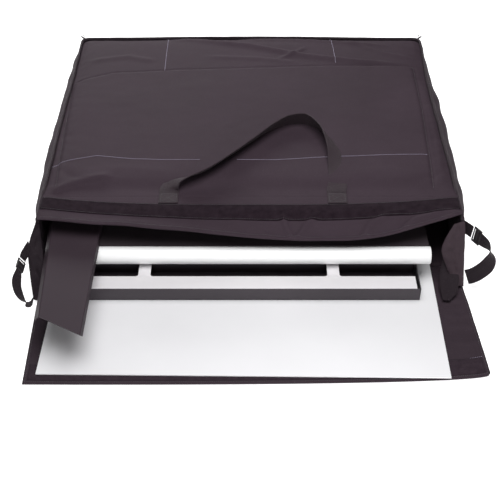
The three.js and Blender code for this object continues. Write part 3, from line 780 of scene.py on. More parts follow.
def taped_edge(name, line, section):
    """A soft tape swept along a line of (x, y, z): section lists (out, up) round it."""
    _, length = even_steps(line, 1)
    spots, length = even_steps(line, max(int(length * steps_per_metre), 4))
    count = len(section)

    def place(u, v):
        i = min(int(round(v * (len(spots) - 1))), len(spots) - 1)
        before, after = spots[max(i - 1, 0)], spots[min(i + 1, len(spots) - 1)]
        run = Vector(after - before).normalized()
        out = Vector((run.y, -run.x, 0.0)).normalized()
        up = out.cross(run)
        turn = int(round(u * count)) % count
        a, b = section[turn]
        wobble = 1.0 + 0.10 * noise.noise(Vector(spots[i]) * 22.0)
        return Vector(spots[i]) + out * a * wobble + up * b * wobble

    piece, _ = cut_cloth(name, count, len(spots) - 1, (0.030, length), place)
    take(piece)
    bpy.ops.object.mode_set(mode="EDIT")
    bpy.ops.mesh.select_all(action="SELECT")
    bpy.ops.mesh.remove_doubles(threshold=1e-5)
    bpy.ops.mesh.select_all(action="DESELECT")
    bpy.ops.mesh.select_non_manifold()
    bpy.ops.mesh.edge_face_add()
    bpy.ops.mesh.select_all(action="SELECT")
    bpy.ops.mesh.normals_make_consistent(inside=False)
    bpy.ops.object.mode_set(mode="OBJECT")
    bpy.ops.object.shade_smooth()
    return piece


binding_low, binding_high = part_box("edge_binding_back")
binding_mid = (binding_low.z + binding_high.z) / 2
fold_section = [
    (-3.4 * MM, -6.0 * MM), (-3.6 * MM, 1.0 * MM), (-2.6 * MM, 5.0 * MM), (0.0, 6.4 * MM),
    (2.6 * MM, 5.0 * MM), (3.6 * MM, 1.0 * MM), (3.4 * MM, -6.0 * MM), (0.0, -6.4 * MM),
]
under_hem = 10 * MM
rim = [(x, y, binding_mid + 4.0 * MM * smooth(0.05, 0.45, 0.54 - abs(x)) * smooth(-0.05, 0.0, y - back_y)
        - under_hem * (1 - smooth(hem_back_y - 6 * MM, hem_back_y + 8 * MM, y)))
       for x, y in round_the_back(seam_half, back_y - 3.5 * MM, corner_round)]
binding = taped_edge("edge_binding", rim, fold_section)
settle(binding, binding_webbing, "bag", "webbing",
       "edge_binding_left", "edge_binding_right", "edge_binding_back")


def band(name, route, width, thick, strips=6, round_by=0.35):
    """Flat webbing through stations of (middle, width direction), with rounded selvedges."""
    length = sum((route[i + 1][0] - route[i][0]).length for i in range(len(route) - 1))

    def place(u, v):
        i = min(int(round(v * (len(route) - 1))), len(route) - 1)
        middle, across = route[i]
        return middle + across * ((u - 0.5) * width)

    piece, _ = cut_cloth(name, strips, len(route) - 1, (width, length), place)
    apply_modifier(piece, "SOLIDIFY", thickness=thick, offset=0.0, use_even_offset=True)
    apply_modifier(piece, "BEVEL", width=thick * round_by, segments=2, limit_method="ANGLE",
                   angle_limit=math.radians(50))
    take(piece)
    bpy.ops.object.shade_smooth_by_angle(angle=math.radians(40))
    return piece


tuft_spread = [(-0.7, 12, 6), (0.0, 15, 12), (0.45, 12, 8), (0.9, 6, 15)]
for word, side in (("left", -1), ("right", 1)):
    parts = []
    for k, (lean, out, up) in enumerate(tuft_spread):
        start = Vector((side * (seam_half(back_y, side) - 8 * MM), back_y - 9 * MM, top_z - 3 * MM))
        tip = start + Vector((side * out * MM, (4 + 3 * lean) * MM, up * MM))
        bow = start.lerp(tip, 0.5) + Vector((0.0, lean * 3 * MM, 2 * MM))
        across = Vector((0.2 * side, 1.0, lean)).normalized()
        strand = band(f"tuft_{k}", [(start, across), (bow, across), (tip, across)], 6 * MM, 0.9 * MM, 2)
        parts.append(strand)
    deselect()
    for part in parts:
        part.select_set(True)
    bpy.context.view_layer.objects.active = parts[0]
    bpy.ops.object.join()
    tuft = bpy.context.active_object
    tuft.name = f"corner_tuft_{word}"
    settle(tuft, binding_webbing, "bag", "webbing")

# Stitching: runs of pale and of black thread. Each stitch is a short, thick loop of bonded
# thread that sinks into the cloth at both ends.
def ground_under(piece):
    """A lookup for the height of a finished cloth under a place."""
    dg = bpy.context.evaluated_depsgraph_get()
    ready = piece.evaluated_get(dg)

    def height(x, y):
        hit, spot, normal, _ = ready.ray_cast(Vector((x, y, 0.6)), Vector((0.0, 0.0, -1.0)))
        return (spot.z, normal) if hit else (None, None)

    return height


def stitch_run(name, lines, ground, pitch, thread, material, body):
    """Rows of stitches along lines of (x, y), lying on a cloth."""
    build = bmesh.new()
    for line in lines:
        _, length = even_steps(line, 1)
        spots, _ = even_steps(line, max(int(length / pitch), 1))
        for i in range(len(spots) - 1):
            a, b = spots[i], spots[i + 1]
            gap = (b - a) * 0.12
            ends = []
            for share in (0.0, 0.25, 0.75, 1.0):
                x, y = (a + gap) + (b - a - 2 * gap) * share
                z, _ = ground(x, y)
                if z is None:
                    break
                rise = -0.3 * thread if share in (0.0, 1.0) else 0.38 * thread
                ends.append(Vector((x, y, z + rise)))
            if len(ends) < 4:
                continue
            run = (ends[3] - ends[0]).normalized()
            side = run.cross(Vector((0.0, 0.0, 1.0))).normalized()
            up = side.cross(run)
            rings = []
            for k, spot in enumerate(ends):
                size = thread * (0.32 if k in (0, 3) else 0.5)
                rings.append([build.verts.new(spot + side * math.cos(q) * size + up * math.sin(q) * size)
                              for q in (math.pi * n / 3 for n in range(6))])
            for k in range(3):
                for n in range(6):
                    m = (n + 1) % 6
                    build.faces.new((rings[k][n], rings[k][m], rings[k + 1][m], rings[k + 1][n]))
            build.faces.new(rings[0][::-1])
            build.faces.new(rings[3])
    bmesh.ops.recalc_face_normals(build, faces=build.faces)
    mesh = bpy.data.meshes.new(name)
    build.to_mesh(mesh)
    build.free()
    piece = bpy.data.objects.new(name, mesh)
    scene.collection.objects.link(piece)
    take(piece)
    bpy.ops.object.shade_smooth()
    wear(piece, material)
    if body:
        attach(piece, body)
    return piece


def thread_yarn(name, dark, light):
    """Bonded polyester thread, twisted from three plies."""
    made, tree, shader = new_material(name)
    coords = tree.nodes.new("ShaderNodeTexCoord")
    twist = speckle(tree, coords.outputs["Object"], 1400.0, 2.0)
    tree.links.new(two_tones(tree, dark, light, spread(tree, twist, 0.3, 0.7)), shader.inputs["Base Color"])
    shader.inputs["Roughness"].default_value = 0.55
    shader.inputs["Sheen Weight"].default_value = 0.3
    raise_surface(tree, shader, twist, 0.0002, 0.8)
    return made


pale_thread = thread_yarn("pale_thread", (0.24, 0.21, 0.30), (0.38, 0.34, 0.46))
black_thread = thread_yarn("black_thread", (0.018, 0.015, 0.018), (0.040, 0.034, 0.040))
cover_ground = ground_under(cover)
pale_lines = [
    [(-0.263, 0.462), (-0.262, 0.351), (-0.261, 0.245)],
    [(0.258, 0.462), (0.264, 0.384), (0.265, 0.288)],
    [(-0.531, -0.249), (-0.471, -0.235), (-0.411, -0.221), (-0.318, -0.235),
     (-0.242, -0.239), (-0.134, -0.239)],
    [(-0.035, -0.239), (0.075, -0.239), (0.229, -0.225), (0.365, -0.216), (0.480, -0.211)],
]
stitch_run("panel_stitches", pale_lines, cover_ground, 4.5 * MM, 1.4 * MM, pale_thread, "bag")
pocket_seam = [
    [(-0.537, 0.176), (-0.412, 0.224), (-0.215, 0.242), (0.0, 0.254), (0.247, 0.267), (0.503, 0.268)],
    [(-0.537, 0.176), (-0.525, -0.026), (-0.516, -0.202), (-0.505, -0.350)],
    [(0.503, 0.268), (0.498, 0.027), (0.487, -0.202), (0.478, -0.350)],
]
stitch_run("pocket_stitches", pocket_seam, cover_ground, 5 * MM, 0.8 * MM, black_thread, "bag")
lip_line = [(x, lip_at(x)[0] + 9 * MM) for x in np.linspace(-hem_half + 8 * MM, hem_half - 8 * MM, 90)]
stitch_run("lip_stitches", [lip_line], cover_ground, 5 * MM, 0.8 * MM, black_thread, "hem")

# Loop tape: 50 mm brushed loop pile on a woven ground, sewn to the hem in a shallow bow that
# passes in front of the handle. The flap's hook tape presses into it when the bag is shut.
tape_width = 50 * MM
patch_length = 42 * MM


def tape_back(x):
    """The tape's back edge over a place across the bag."""
    bow = 1.0 - abs(x / hem_half) ** 3.2
    return hem_back_y - lerp(12 * MM, patch_length + 4 * MM, bow)


def tape_face(u, v):
    x = (2 * u - 1) * (hem_half - 2 * MM)
    y = tape_back(x) - (1 - v) * tape_width
    z, _ = cover_ground(x, y)
    if z is None:
        z = cover_ground(x, y + 3 * MM)[0]
    rim = min(min(v, 1 - v) * tape_width, min(u, 1 - u) * 2 * hem_half)
    pile = noise.noise(Vector((x * 130.0, y * 130.0, 1.0))) * 0.35 * MM
    return Vector((x, y, z + 0.5 * MM + 1.6 * MM * smooth(0.0, 4 * MM, rim) + pile))


def pile_tape(name, dark, light, tuft):
    """Hook or loop tape: a dense, matt pile in fine rows."""
    made, tree, shader = new_material(name)
    coords = tree.nodes.new("ShaderNodeTexCoord")
    pile = speckle(tree, coords.outputs["UV"], tuft, 3.0, 0.75)
    patches = speckle(tree, coords.outputs["UV"], 60.0, 3.0, 0.65)
    tone = sums(tree, "ADD", sums(tree, "MULTIPLY", pile, 0.6), sums(tree, "MULTIPLY", patches, 0.6))
    tree.links.new(two_tones(tree, dark, light, spread(tree, tone, 0.42, 0.78)), shader.inputs["Base Color"])
    shader.inputs["Roughness"].default_value = 0.95
    shader.inputs["Sheen Weight"].default_value = 0.02
    shader.inputs["Sheen Roughness"].default_value = 0.6
    shader.inputs["Specular IOR Level"].default_value = 0.04
    raise_surface(tree, shader, pile, 0.0012, 0.9)
    return made


tape = sewn_pad("loop_pile", 210, 14, (1.06, tape_width), tape_face, thick=1.4 * MM)
take(tape)
bpy.ops.object.shade_smooth()
loop_pile = pile_tape("loop_pile", (0.009, 0.005, 0.008), (0.026, 0.017, 0.023), 420.0)
settle(tape, loop_pile, None, "grip_tape", "loop_tape")
tape_ground = ground_under(tape)
tape_edges = []
for inset in (3 * MM, tape_width - 3 * MM):
    tape_edges.append([(x, tape_back(x) - inset)
                       for x in np.linspace(-hem_half + 6 * MM, hem_half - 6 * MM, 90)])
tape_stitches = stitch_run("tape_stitches", tape_edges, tape_ground, 6 * MM, 0.8 * MM, black_thread, None)
lift_with_hem(tape)
lift_with_hem(tape_stitches)

# Closing flap: the base cloth carried on past the mouth, lying open on the floor. It is two
# nylons with thin foam between, its three free edges turned under and sewn.
flap_low, flap_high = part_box("closing_flap")
flap_corners = [(-0.540, -0.4703), (0.540, -0.4703), (-0.524, -0.880), (0.559, -0.845)]


def flap_ends(u):
    """The root and the front edge at a share across: the front edge bows forwards."""
    root = Vector(flap_corners[0]).lerp(Vector(flap_corners[1]), u)
    front = Vector(flap_corners[2]).lerp(Vector(flap_corners[3]), u)
    return root, front - Vector((0.0, 40 * MM * u * (1 - u) ** 0.3))


def flap_spot(u, v):
    """u across, v from the front edge to the root."""
    root, front = flap_ends(u)
    return front.lerp(root, v)


def flap_rim(u, v):
    return min(min(u, 1 - u) * 1.08, v * 0.40)


def flap_face(u, v):
    spot = flap_spot(u, v)
    rim = flap_rim(u, v)
    z = flap_high.z - 2.6 * MM * (1 - smooth(0.0, 6 * MM, rim))
    on_side_seam = 1.0 if spot.x > 0.475 or spot.x < -0.497 else 0.0
    z += 1.2 * MM * math.exp(-((rim - 7 * MM) / (4 * MM)) ** 2) * on_side_seam
    if spot.x > 0.472:
        z += 1.6 * MM * noise.noise(Vector((spot.x * 12.0, spot.y * 26.0, 2.0)))
    return Vector((spot.x, spot.y, z))


def flap_lining(u, v):
    spot = flap_spot(u, v)
    return Vector((spot.x, spot.y, flap_low.z + 1.6 * MM * (1 - smooth(0.0, 6 * MM, flap_rim(u, v)))))


flap = sewn_pad("closing_flap_cloth", 180, 76, (1.08, 0.40), flap_face, lining=flap_lining)
finish_pad(flap, 0)
flap_folds = [
    ([(0.480, -0.600), (0.515, -0.604), (0.550, -0.596)], 2.0, 5, 8),
    ([(0.480, -0.655), (0.520, -0.662), (0.554, -0.650)], 1.8, 5, 9),
    ([(0.482, -0.700), (0.520, -0.690), (0.556, -0.700)], 1.6, 6, 9),
    ([(0.482, -0.748), (0.520, -0.756), (0.558, -0.744)], 2.0, 4, 8),
    ([(0.500, -0.560), (0.505, -0.660), (0.508, -0.760)], 1.4, 6, 6),
    ([(0.545, -0.560), (0.551, -0.700), (0.556, -0.830)], 1.6, 4, 4),
    ([(-0.520, -0.560), (-0.516, -0.700), (-0.510, -0.840)], 1.8, 4, 4),
]
press_out(flap, lambda x, y, z: fold_height(x, y, flap_folds))
flap_nylon = nylon_cloth("flap_nylon", (0.022, 0.015, 0.020), (0.041, 0.029, 0.037))
settle(flap, flap_nylon, "bag", "nylon_base", "closing_flap")

flap_ground = ground_under(flap)


def flap_point(u, back):
    """A place on the flap, measured back from its front edge."""
    root, front = flap_ends(u)
    return front.lerp(root, back / (root - front).length)


hook_top_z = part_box("hook_tape")[1].z


def hook_face(u, v):
    spot = flap_point(lerp(0.01, 0.99, u), 8 * MM + v * tape_width)
    rim = min(v, 1 - v) * tape_width
    return Vector((spot.x, spot.y, hook_top_z - 0.7 * MM * (1 - smooth(0.0, 3 * MM, rim))))


hook = sewn_pad("hook_pile", 200, 10, (1.06, tape_width), hook_face, thick=1.2 * MM)
take(hook)
bpy.ops.object.shade_smooth()
hook_pile = pile_tape("hook_pile", (0.024, 0.016, 0.022), (0.044, 0.031, 0.040), 700.0)
settle(hook, hook_pile, "bag", "grip_tape", "hook_tape")
flap_seams = [
    [tuple(flap_point(u, 5 * MM)) for u in np.linspace(0.004, 0.996, 40)],
    [tuple(flap_point(0.006, b)) for b in np.linspace(6 * MM, 0.36, 20)],
    [tuple(flap_point(0.994, b)) for b in np.linspace(6 * MM, 0.34, 20)],
]
stitch_run("flap_stitches", flap_seams, flap_ground, 5 * MM, 0.8 * MM, black_thread, "bag")
stitch_run("flap_pale_stitch", [[(0.481, -0.810), (0.515, -0.803), (0.548, -0.797)]], flap_ground,
           4.5 * MM, 1.0 * MM, pale_thread, "bag")

# Side wings: each wall runs on past the mouth as a loose, lined triangle of cloth that is
# folded in when the bag is shut. The right one curls inwards, with a fold of its lining
# tucked in below. The left one hangs outwards and shows its lining. The lining nylon is
# much darker than the outer nylon. That darkness is painted shade, for the shade that the
# left wing's inner face and the tucked fold lie in.
def wing_piece(name, outer, inner, cut, bulge):
    """A lined triangle between two edges, each a list of points from the top downwards."""
    outer_line = np.array(smooth_line(outer, 40))
    inner_line = np.array(smooth_line(inner, 40))

    def place(u, v):
        k = min(int(round((1 - v) * 40)), 40)
        a, b = outer_line[k], inner_line[k]
        spot = Vector(lerp(a, b, u))
        swellout = math.sin(math.pi * u) * math.sin(math.pi * v) * bulge
        wrinkle = noise.noise(Vector((u * 3.0, v * 9.0, 5.0))) * 6.0 * MM * math.sin(math.pi * u)
        return spot + Vector((0.0, -1.0, 0.25)) * (swellout + wrinkle)

    piece = sewn_pad(name, 12, 40, cut, place, thick=3.5 * MM,
                     free=lambda u, v: 0.0 if min(u, 1 - u) < 0.05 or min(v, 1 - v) < 0.04 else 0.8)
    take(piece)
    bpy.ops.object.mode_set(mode="EDIT")
    bpy.ops.mesh.select_all(action="SELECT")
    bpy.ops.mesh.normals_make_consistent(inside=False)
    bpy.ops.object.mode_set(mode="OBJECT")
    swell(piece, 0.9, 4 * MM, slack=0.015)
    finish_pad(piece, 1)
    return piece


wing_right = wing_piece(
    "wing_cloth_right",
    [(0.541, -0.470, 0.156), (0.543, -0.490, 0.118), (0.543, -0.510, 0.080),
     (0.543, -0.532, 0.044), (0.543, -0.556, 0.012)],
    [(0.514, -0.474, 0.150), (0.494, -0.492, 0.118), (0.484, -0.508, 0.094),
     (0.497, -0.524, 0.058), (0.522, -0.552, 0.012)],
    (0.05, 0.16), 5 * MM)
wing_tuck = wing_piece(
    "wing_tuck_right",
    [(0.531, -0.500, 0.064), (0.530, -0.545, 0.034), (0.521, -0.585, 0.018), (0.500, -0.612, 0.0125)],
    [(0.492, -0.505, 0.060), (0.483, -0.535, 0.034), (0.480, -0.572, 0.020), (0.482, -0.610, 0.0125)],
    (0.05, 0.16), 3 * MM)
wing_left = wing_piece(
    "wing_cloth_left",
    [(-0.539, -0.470, 0.156), (-0.552, -0.500, 0.127), (-0.558, -0.525, 0.104),
     (-0.552, -0.568, 0.055), (-0.544, -0.603, 0.010)],
    [(-0.531, -0.472, 0.150), (-0.525, -0.500, 0.110), (-0.516, -0.548, 0.078),
     (-0.511, -0.585, 0.042), (-0.530, -0.610, 0.010)],
    (0.05, 0.20), 3 * MM)
wing_nylon = nylon_cloth("wing_nylon", (0.027, 0.018, 0.023), (0.048, 0.034, 0.041))
# Painted shade: the lining nylon's colours are darkened to stand in for the shade under the wings.
lining_nylon_painted_shade = nylon_cloth("lining_nylon_painted_shade", (0.010, 0.007, 0.009), (0.022, 0.016, 0.020))
for word, wing in (("right", wing_right), ("left", wing_left), ("right", wing_tuck)):
    cloth = wing_nylon if wing == wing_right else lining_nylon_painted_shade
    settle(wing, cloth, "bag", "nylon_base", f"side_wing_{word}")

# Carry handle: one length of 50 mm nylon webbing. Each end is folded flat on the hem and sewn
# down with a box and a cross, and the loop between them has fallen back over the panel with
# a half twist at its left root.
patch_low, patch_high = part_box("handle_patch_left")
patch_x = {"left": (patch_low.x + patch_high.x) / 2,
           "right": (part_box("handle_patch_right")[0].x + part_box("handle_patch_right")[1].x) / 2}
webbing_wide = patch_high.x - patch_low.x
webbing_thick = patch_high.z - patch_low.z
root_y = patch_high.y + 0.4 * MM
flat_z = (patch_low.z + patch_high.z) / 2
loop_points = [
    (0, 0, 0.2, 0), (0, 11, 0.8, 0), (3, 22.5, 4, 5), (18, 36, 11.5, 20), (48, 46, 19, 40), (96, 72, 25, 48),
    (160, 142, 26, 50), (216, 208, 26, 54), (270, 270, 27, 60), (318, 302, 28, 70), (366, 304, 29, 76),
    (410, 254, 28, 62), (436, 174, 22, 36), (441, 98, 11, 10),
]


def webbing_route(points, steps):
    """Stations along a route of (x, y, z, tilt): the tilt raises the width's outer edge."""
    middles = smooth_line([p[:3] for p in points], steps)
    spans = len(points) - 1
    stations = []
    for i, middle in enumerate(middles):
        before = middles[max(i - 1, 0)]
        after = middles[min(i + 1, steps)]
        run = Vector(after - before).normalized()
        level = run.cross(Vector((0.0, 0.0, 1.0))).normalized()
        place = min(i / steps * spans, spans - 1e-9)
        tilt = lerp(points[int(place)][3], points[int(place) + 1][3], place - int(place))
        across = level * math.cos(math.radians(tilt)) + Vector((0.0, 0.0, math.sin(math.radians(tilt))))
        across = (across - run * across.dot(run)).normalized()
        stations.append((Vector(middle), across))
    return stations


handle_route = [(patch_x["left"] + x * MM, root_y + y * MM, flat_z + z * MM, tilt)
                for x, y, z, tilt in loop_points]
handle_route += [
    (patch_x["right"] + 5 * MM, root_y + 38 * MM, flat_z + 3.0 * MM, 2),
    (patch_x["right"], root_y + 11 * MM, flat_z + 0.6 * MM, 0),
    (patch_x["right"], root_y, flat_z + 0.2 * MM, 0),
]
handle = band("carry_handle_webbing", webbing_route(handle_route, 190), webbing_wide, webbing_thick, 8)
handle_webbing = webbing_cloth("handle_webbing", (0.026, 0.018, 0.023), (0.052, 0.037, 0.045), 0.0019)
settle(handle, handle_webbing, None, "webbing", "carry_handle")
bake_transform(handle)

for word in ("left", "right"):
    x = patch_x[word]
    low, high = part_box(f"handle_patch_{word}")
    stations = [(Vector((x, lerp(low.y, high.y + 0.4 * MM, i / 12), flat_z + 0.2 * MM)),
                 Vector((1.0, 0.0, 0.0)))
                for i in range(13)]
    patch = band(f"handle_end_{word}", stations, webbing_wide, webbing_thick, 12)
    settle(patch, handle_webbing, None, "webbing", f"handle_patch_{word}")
    ground = ground_under(patch)
    box_x = webbing_wide / 2 - 5 * MM
    y0, y1 = low.y + 5 * MM, high.y - 5 * MM
    seams = [
        [(x - box_x, y0), (x + box_x, y0)], [(x + box_x, y0), (x + box_x, y1)],
        [(x + box_x, y1), (x - box_x, y1)], [(x - box_x, y1), (x - box_x, y0)],
        [(x - box_x, y0), (x + box_x, y1)], [(x - box_x, y1), (x + box_x, y0)],
    ]
    seam = stitch_run(f"handle_seam_{word}", seams, ground, 4 * MM, 0.9 * MM, black_thread, None)
    lift_with_hem(patch)
    lift_with_hem(seam)

# Side straps: on each side a tab of 38 mm webbing holds a plastic ladder lock, and the strap
# that runs from the lock turns over and down to the flap's edge.
strap_width = 38 * MM
strap_thick = 2 * MM
lock_depth = 26 * MM
lock_width = 48 * MM
lock_thick = 4 * MM
strap_plan = {
    "right": {"root": (7, -26, 119), "lock": (35, 11, 116), "aim": (0.56, 0.8, -0.1),
              "loop": [(61, 43, 106, 74), (66, 60, 91, 62), (57, 74, 72, 56), (36, 79, 52, 58),
                       (20, 76, 38, 66), (11, 71, 31, 76)]},
    "left": {"root": (13, 46, 112), "lock": (29, 99, 94), "aim": (0.2, 0.84, -0.5),
             "loop": [(36, 137, 70, 70), (30, 155, 54, 58), (19, 167, 41, 54), (7, 171, 33, 60),
                      (0, 163, 30, 70), (-2, 152, 29, 76)]},
}
strap_webbing = webbing_cloth("strap_webbing", (0.011, 0.007, 0.010), (0.028, 0.020, 0.025), 0.0016)
lock_plastic = plastic("lock_plastic", (0.018, 0.016, 0.018), (0.036, 0.032, 0.035), 0.3)
for word, side in (("left", -1), ("right", 1)):
    plan = strap_plan[word]

    def strap_spot(point):
        out, ahead, z = point[:3]
        return Vector((side * (bag_half + out * MM), mouth_y - ahead * MM, z * MM))

    heading = Vector((side * plan["aim"][0], -plan["aim"][1], plan["aim"][2])).normalized()
    middle = strap_spot(plan["lock"])

    def on_lock(distance):
        return (*(middle + heading * distance), 90)

    tab = band(f"strap_tab_webbing_{word}", webbing_route(
        [(*strap_spot(plan["root"]), 90), on_lock(-lock_depth / 2 - 9.5 * MM),
         on_lock(-lock_depth / 2 - 3.5 * MM)], 14),
        strap_width, strap_thick, 5)
    settle(tab, strap_webbing, "bag", "webbing", f"strap_tab_{word}")
    loop_end = lock_depth / 2 + 1 * MM
    loop = band(f"strap_webbing_{word}", webbing_route(
        [on_lock(-0.3 * lock_depth), on_lock(loop_end + 3 * MM)]
         + [(*strap_spot(p), p[3]) for p in plan["loop"]], 60),
        strap_width, strap_thick, 5)
    settle(loop, strap_webbing, f"strap_{word}", "webbing", f"strap_loop_{word}")

    # The lock is a frame with a middle bar, moulded with round edges.
    deselect()
    bpy.ops.mesh.primitive_grid_add(x_subdivisions=5, y_subdivisions=3, size=1.0)
    lock = bpy.context.active_object
    lock.name = lock.data.name = f"ladder_lock_frame_{word}"
    columns = [-0.5, -0.385, -0.115, 0.115, 0.385, 0.5]
    rows = [-0.5, -0.405, 0.405, 0.5]
    for vertex in lock.data.vertices:
        i = int(round((vertex.co.x + 0.5) * 5))
        j = int(round((vertex.co.y + 0.5) * 3))
        vertex.co = Vector((columns[i] * lock_depth, rows[j] * lock_width, 0.0))
    bpy.ops.object.mode_set(mode="EDIT")
    build = bmesh.from_edit_mesh(lock.data)
    for face in build.faces:
        at = face.calc_center_median()
        face.select = abs(at.y) < 0.3 * lock_width and 0.15 < abs(at.x) / lock_depth < 0.38
    bmesh.update_edit_mesh(lock.data)
    bpy.ops.mesh.delete(type="FACE")
    bpy.ops.object.mode_set(mode="OBJECT")
    apply_modifier(lock, "SOLIDIFY", thickness=lock_thick, offset=0.0)
    apply_modifier(lock, "BEVEL", width=1.1 * MM, segments=3, limit_method="ANGLE",
                   angle_limit=math.radians(40))
    width_way = (Vector((0.0, 0.0, 1.0)) - heading * heading.z).normalized()
    turn = Matrix((heading, width_way, heading.cross(width_way))).transposed().to_4x4()
    turn.translation = middle
    lock.data.transform(turn)
    take(lock)
    bpy.ops.object.shade_smooth_by_angle(angle=math.radians(35))
    settle(lock, lock_plastic, f"strap_{word}", "black_plastic", f"ladder_lock_{word}")

# Desk board: white laminate on a 4 mm board. It is cut to size, with eased edges and small
# round corners.
def from_cad(node, name, round_by, segments=2, angle=30.0):
    """A fine copy of a part's solid: flat faces joined, and every sharp edge eased."""
    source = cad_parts[node]
    piece = bpy.data.objects.new(name, source.data.copy())
    scene.collection.objects.link(piece)
    piece.data.materials.clear()
    take(piece)
    bpy.ops.object.mode_set(mode="EDIT")
    bpy.ops.mesh.select_all(action="SELECT")
    bpy.ops.mesh.remove_doubles(threshold=1e-5)
    bpy.ops.mesh.dissolve_limited(angle_limit=math.radians(1.0))
    bpy.ops.object.mode_set(mode="OBJECT")
    if round_by:
        apply_modifier(piece, "BEVEL", width=round_by, segments=segments, limit_method="ANGLE",
                       angle_limit=math.radians(angle), use_clamp_overlap=True)
    take(piece)
    bpy.ops.object.shade_smooth_by_angle(angle=math.radians(35))
    return piece


def coated(name, dark, light, roughness, grain, depth, cloud=3.0, shine=0.5):
    """A painted, powder-coated or laminated skin: a fine even grain with faint clouds."""
    made, tree, shader = new_material(name)
    coords = tree.nodes.new("ShaderNodeTexCoord")
    marks = use_group(tree, handling, Place=coords.outputs["Object"], Cloud_size=cloud)
    tree.links.new(two_tones(tree, dark, light, spread(tree, marks.outputs["Clouds"], 0.3, 0.75)),
                   shader.inputs["Base Color"])
    rubbed = spread(tree, marks.outputs["Clouds"], 0.2, 0.8)
    tree.links.new(sums(tree, "MULTIPLY_ADD", rubbed, 0.08, third=roughness), shader.inputs["Roughness"])
    shader.inputs["Specular IOR Level"].default_value = shine
    raise_surface(tree, shader, speckle(tree, coords.outputs["Object"], grain, 2.0), depth, 0.5)
    return made


white_laminate = coated("white_laminate", (0.78, 0.775, 0.795), (0.82, 0.815, 0.835), 0.34, 1200.0, 0.00002)
board = from_cad("desk_board", "white_board", 0.9 * MM, 3)
settle(board, white_laminate, "board", "white_board", "desk_board")

# Cable rail: a shallow tray of folded black steel with moulded end caps, and a satin ledge
# over its front, with two tabs that run back to the tray's rear wall.
black_coat = coated("black_coat", (0.034, 0.026, 0.033), (0.048, 0.038, 0.047), 0.42, 1500.0, 0.00012)
ledge_coat = coated("ledge_coat", (0.70, 0.68, 0.70), (0.76, 0.74, 0.76), 0.36, 1600.0, 0.00004)
rail = from_cad("rail_channel", "rail_channel_fold", 0.7 * MM, 3)
settle(rail, black_coat, "rail", "black_metal", "rail_channel")
cap_plastic = plastic("cap_plastic", (0.030, 0.027, 0.031), (0.048, 0.043, 0.049), 0.42)
for word in ("left", "right"):
    cap = from_cad(f"rail_cap_{word}", f"rail_end_{word}", 0.7 * MM, 3)
    settle(cap, cap_plastic, "rail", "black_plastic", f"rail_cap_{word}")
ledge = from_cad("cable_ledge", "cable_ledge_plate", 0.5 * MM, 2)
settle(ledge, ledge_coat, "rail", "ledge_metal", "cable_ledge")

# Deck: two white powder-coated tubes joined by a steel sheet and two end cheeks, with a matt
# rubber mat on top. Four brackets under it take the legs.
white_coat = coated("white_coat", (0.93, 0.93, 0.935), (0.96, 0.96, 0.965), 0.3, 1500.0, 0.00005)
rubber = coated("rubber_mat", (0.026, 0.020, 0.024), (0.040, 0.031, 0.036), 0.72, 700.0, 0.0003, shine=0.15)
tube_sides = 72
for word in ("front", "rear"):
    low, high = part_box(f"{word}_tube")
    radius = (high.z - low.z) / 2
    centre = (low + high) / 2
    deselect()
    bpy.ops.mesh.primitive_cylinder_add(vertices=tube_sides, radius=radius, depth=high.x - low.x,
                                        end_fill_type="NOTHING", location=centre,
                                        rotation=(0.0, math.pi / 2, 0.0))
    bpy.ops.object.transform_apply(location=True, rotation=True, scale=True)
    tube = bpy.context.active_object
    tube.name = tube.data.name = f"{word}_tube_shell"
    apply_modifier(tube, "SOLIDIFY", thickness=2 * MM, offset=-1.0)
    apply_modifier(tube, "BEVEL", width=0.4 * MM, segments=2, limit_method="ANGLE",
                   angle_limit=math.radians(50))
    take(tube)
    bpy.ops.object.shade_smooth_by_angle(angle=math.radians(30))
    settle(tube, white_coat, "deck", "white_metal", f"{word}_tube")
    for end, side in (("left", -1), ("right", 1)):
        node = f"{word}_tube_cap_{end}"
        low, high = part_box(node)
        deselect()
        bpy.ops.mesh.primitive_cylinder_add(vertices=tube_sides, radius=(high.z - low.z) / 2,
                                            depth=high.x - low.x, location=(low + high) / 2,
                                            rotation=(0.0, math.pi / 2, 0.0))
        bpy.ops.object.transform_apply(location=True, rotation=True, scale=True)
        cap = bpy.context.active_object
        cap.name = cap.data.name = f"{word}_tube_end_{end}"
        bpy.ops.object.mode_set(mode="EDIT")
        build = bmesh.from_edit_mesh(cap.data)
        for face in build.faces:
            face.select = face.normal.x * side > 0.9
        bmesh.update_edit_mesh(cap.data)
        bpy.ops.mesh.inset(thickness=4 * MM, depth=-0.8 * MM)
        bpy.ops.object.mode_set(mode="OBJECT")
        apply_modifier(cap, "BEVEL", width=0.8 * MM, segments=3, limit_method="ANGLE",
                       angle_limit=math.radians(40))
        take(cap)
        bpy.ops.object.shade_smooth_by_angle(angle=math.radians(30))
        settle(cap, white_coat, "deck", "white_metal", node)
mat = from_cad("deck_mat", "rubber_mat", 0.8 * MM, 3)
settle(mat, rubber, "deck", "deck_mat", "deck_mat")
sheet = from_cad("deck_sheet", "deck_plate", 0.3 * MM, 1)
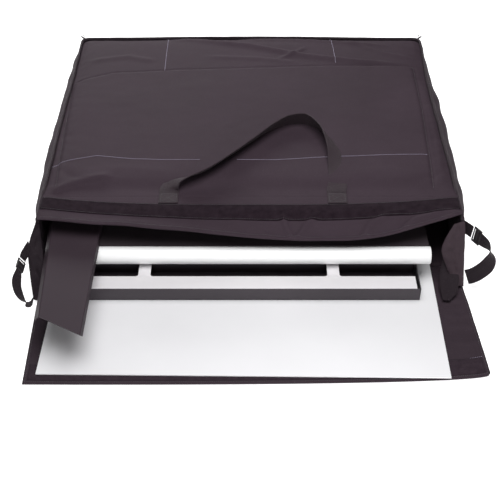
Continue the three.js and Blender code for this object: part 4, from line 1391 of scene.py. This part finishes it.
settle(sheet, white_coat, "deck", "white_metal", "deck_sheet")
for word in ("left", "right"):
    cheek = from_cad(f"deck_cheek_{word}", f"deck_cheek_plate_{word}", 0.5 * MM, 2)
    settle(cheek, white_coat, "deck", "white_metal", f"deck_cheek_{word}")
for depth_word in ("front", "rear"):
    for word in ("left", "right"):
        bracket = from_cad(f"leg_bracket_{depth_word}_{word}", f"leg_seat_{depth_word}_{word}", 0.6 * MM, 2)
        settle(bracket, black_coat, "deck", "black_metal", f"leg_bracket_{depth_word}_{word}")
        knob = from_cad(f"hand_knob_{depth_word}_{word}", f"hand_knob_head_{depth_word}_{word}",
                        1.0 * MM, 2, 50.0)
        settle(knob, cap_plastic, f"knob_{depth_word}_{word}",
               "black_plastic", f"hand_knob_{depth_word}_{word}")

# Legs: each is one sheet of 2 mm steel folded into a shallow, tapered channel, cut at a slant
# at the foot, and finished in fine black powder coat.
leg_coat = coated("leg_coat", (0.034, 0.024, 0.031), (0.046, 0.033, 0.041), 0.5, 1300.0, 0.00014, shine=0.10)
for word in ("outer_left", "inner_left", "inner_right", "outer_right"):
    leg = from_cad(f"leg_{word}", f"folded_leg_{word}", 0.0)
    face_z = max(vertex.co.z for vertex in leg.data.vertices)
    bpy.ops.object.mode_set(mode="EDIT")
    bpy.ops.mesh.select_mode(type="EDGE")
    build = bmesh.from_edit_mesh(leg.data)
    for edge in build.edges:
        top = min(vertex.co.z for vertex in edge.verts) > face_z - 0.1 * MM
        edge.select = top and edge.calc_length() > 0.3
    bmesh.update_edit_mesh(leg.data)
    bpy.ops.mesh.bevel(offset=1.9 * MM, segments=4)
    bpy.ops.object.mode_set(mode="OBJECT")
    apply_modifier(leg, "BEVEL", width=0.35 * MM, segments=1, limit_method="ANGLE",
                   angle_limit=math.radians(50))
    take(leg)
    bpy.ops.object.shade_smooth_by_angle(angle=math.radians(35))
    settle(leg, leg_coat, f"leg_{word}", "black_metal", f"leg_{word}")

bpy.context.view_layer.update()
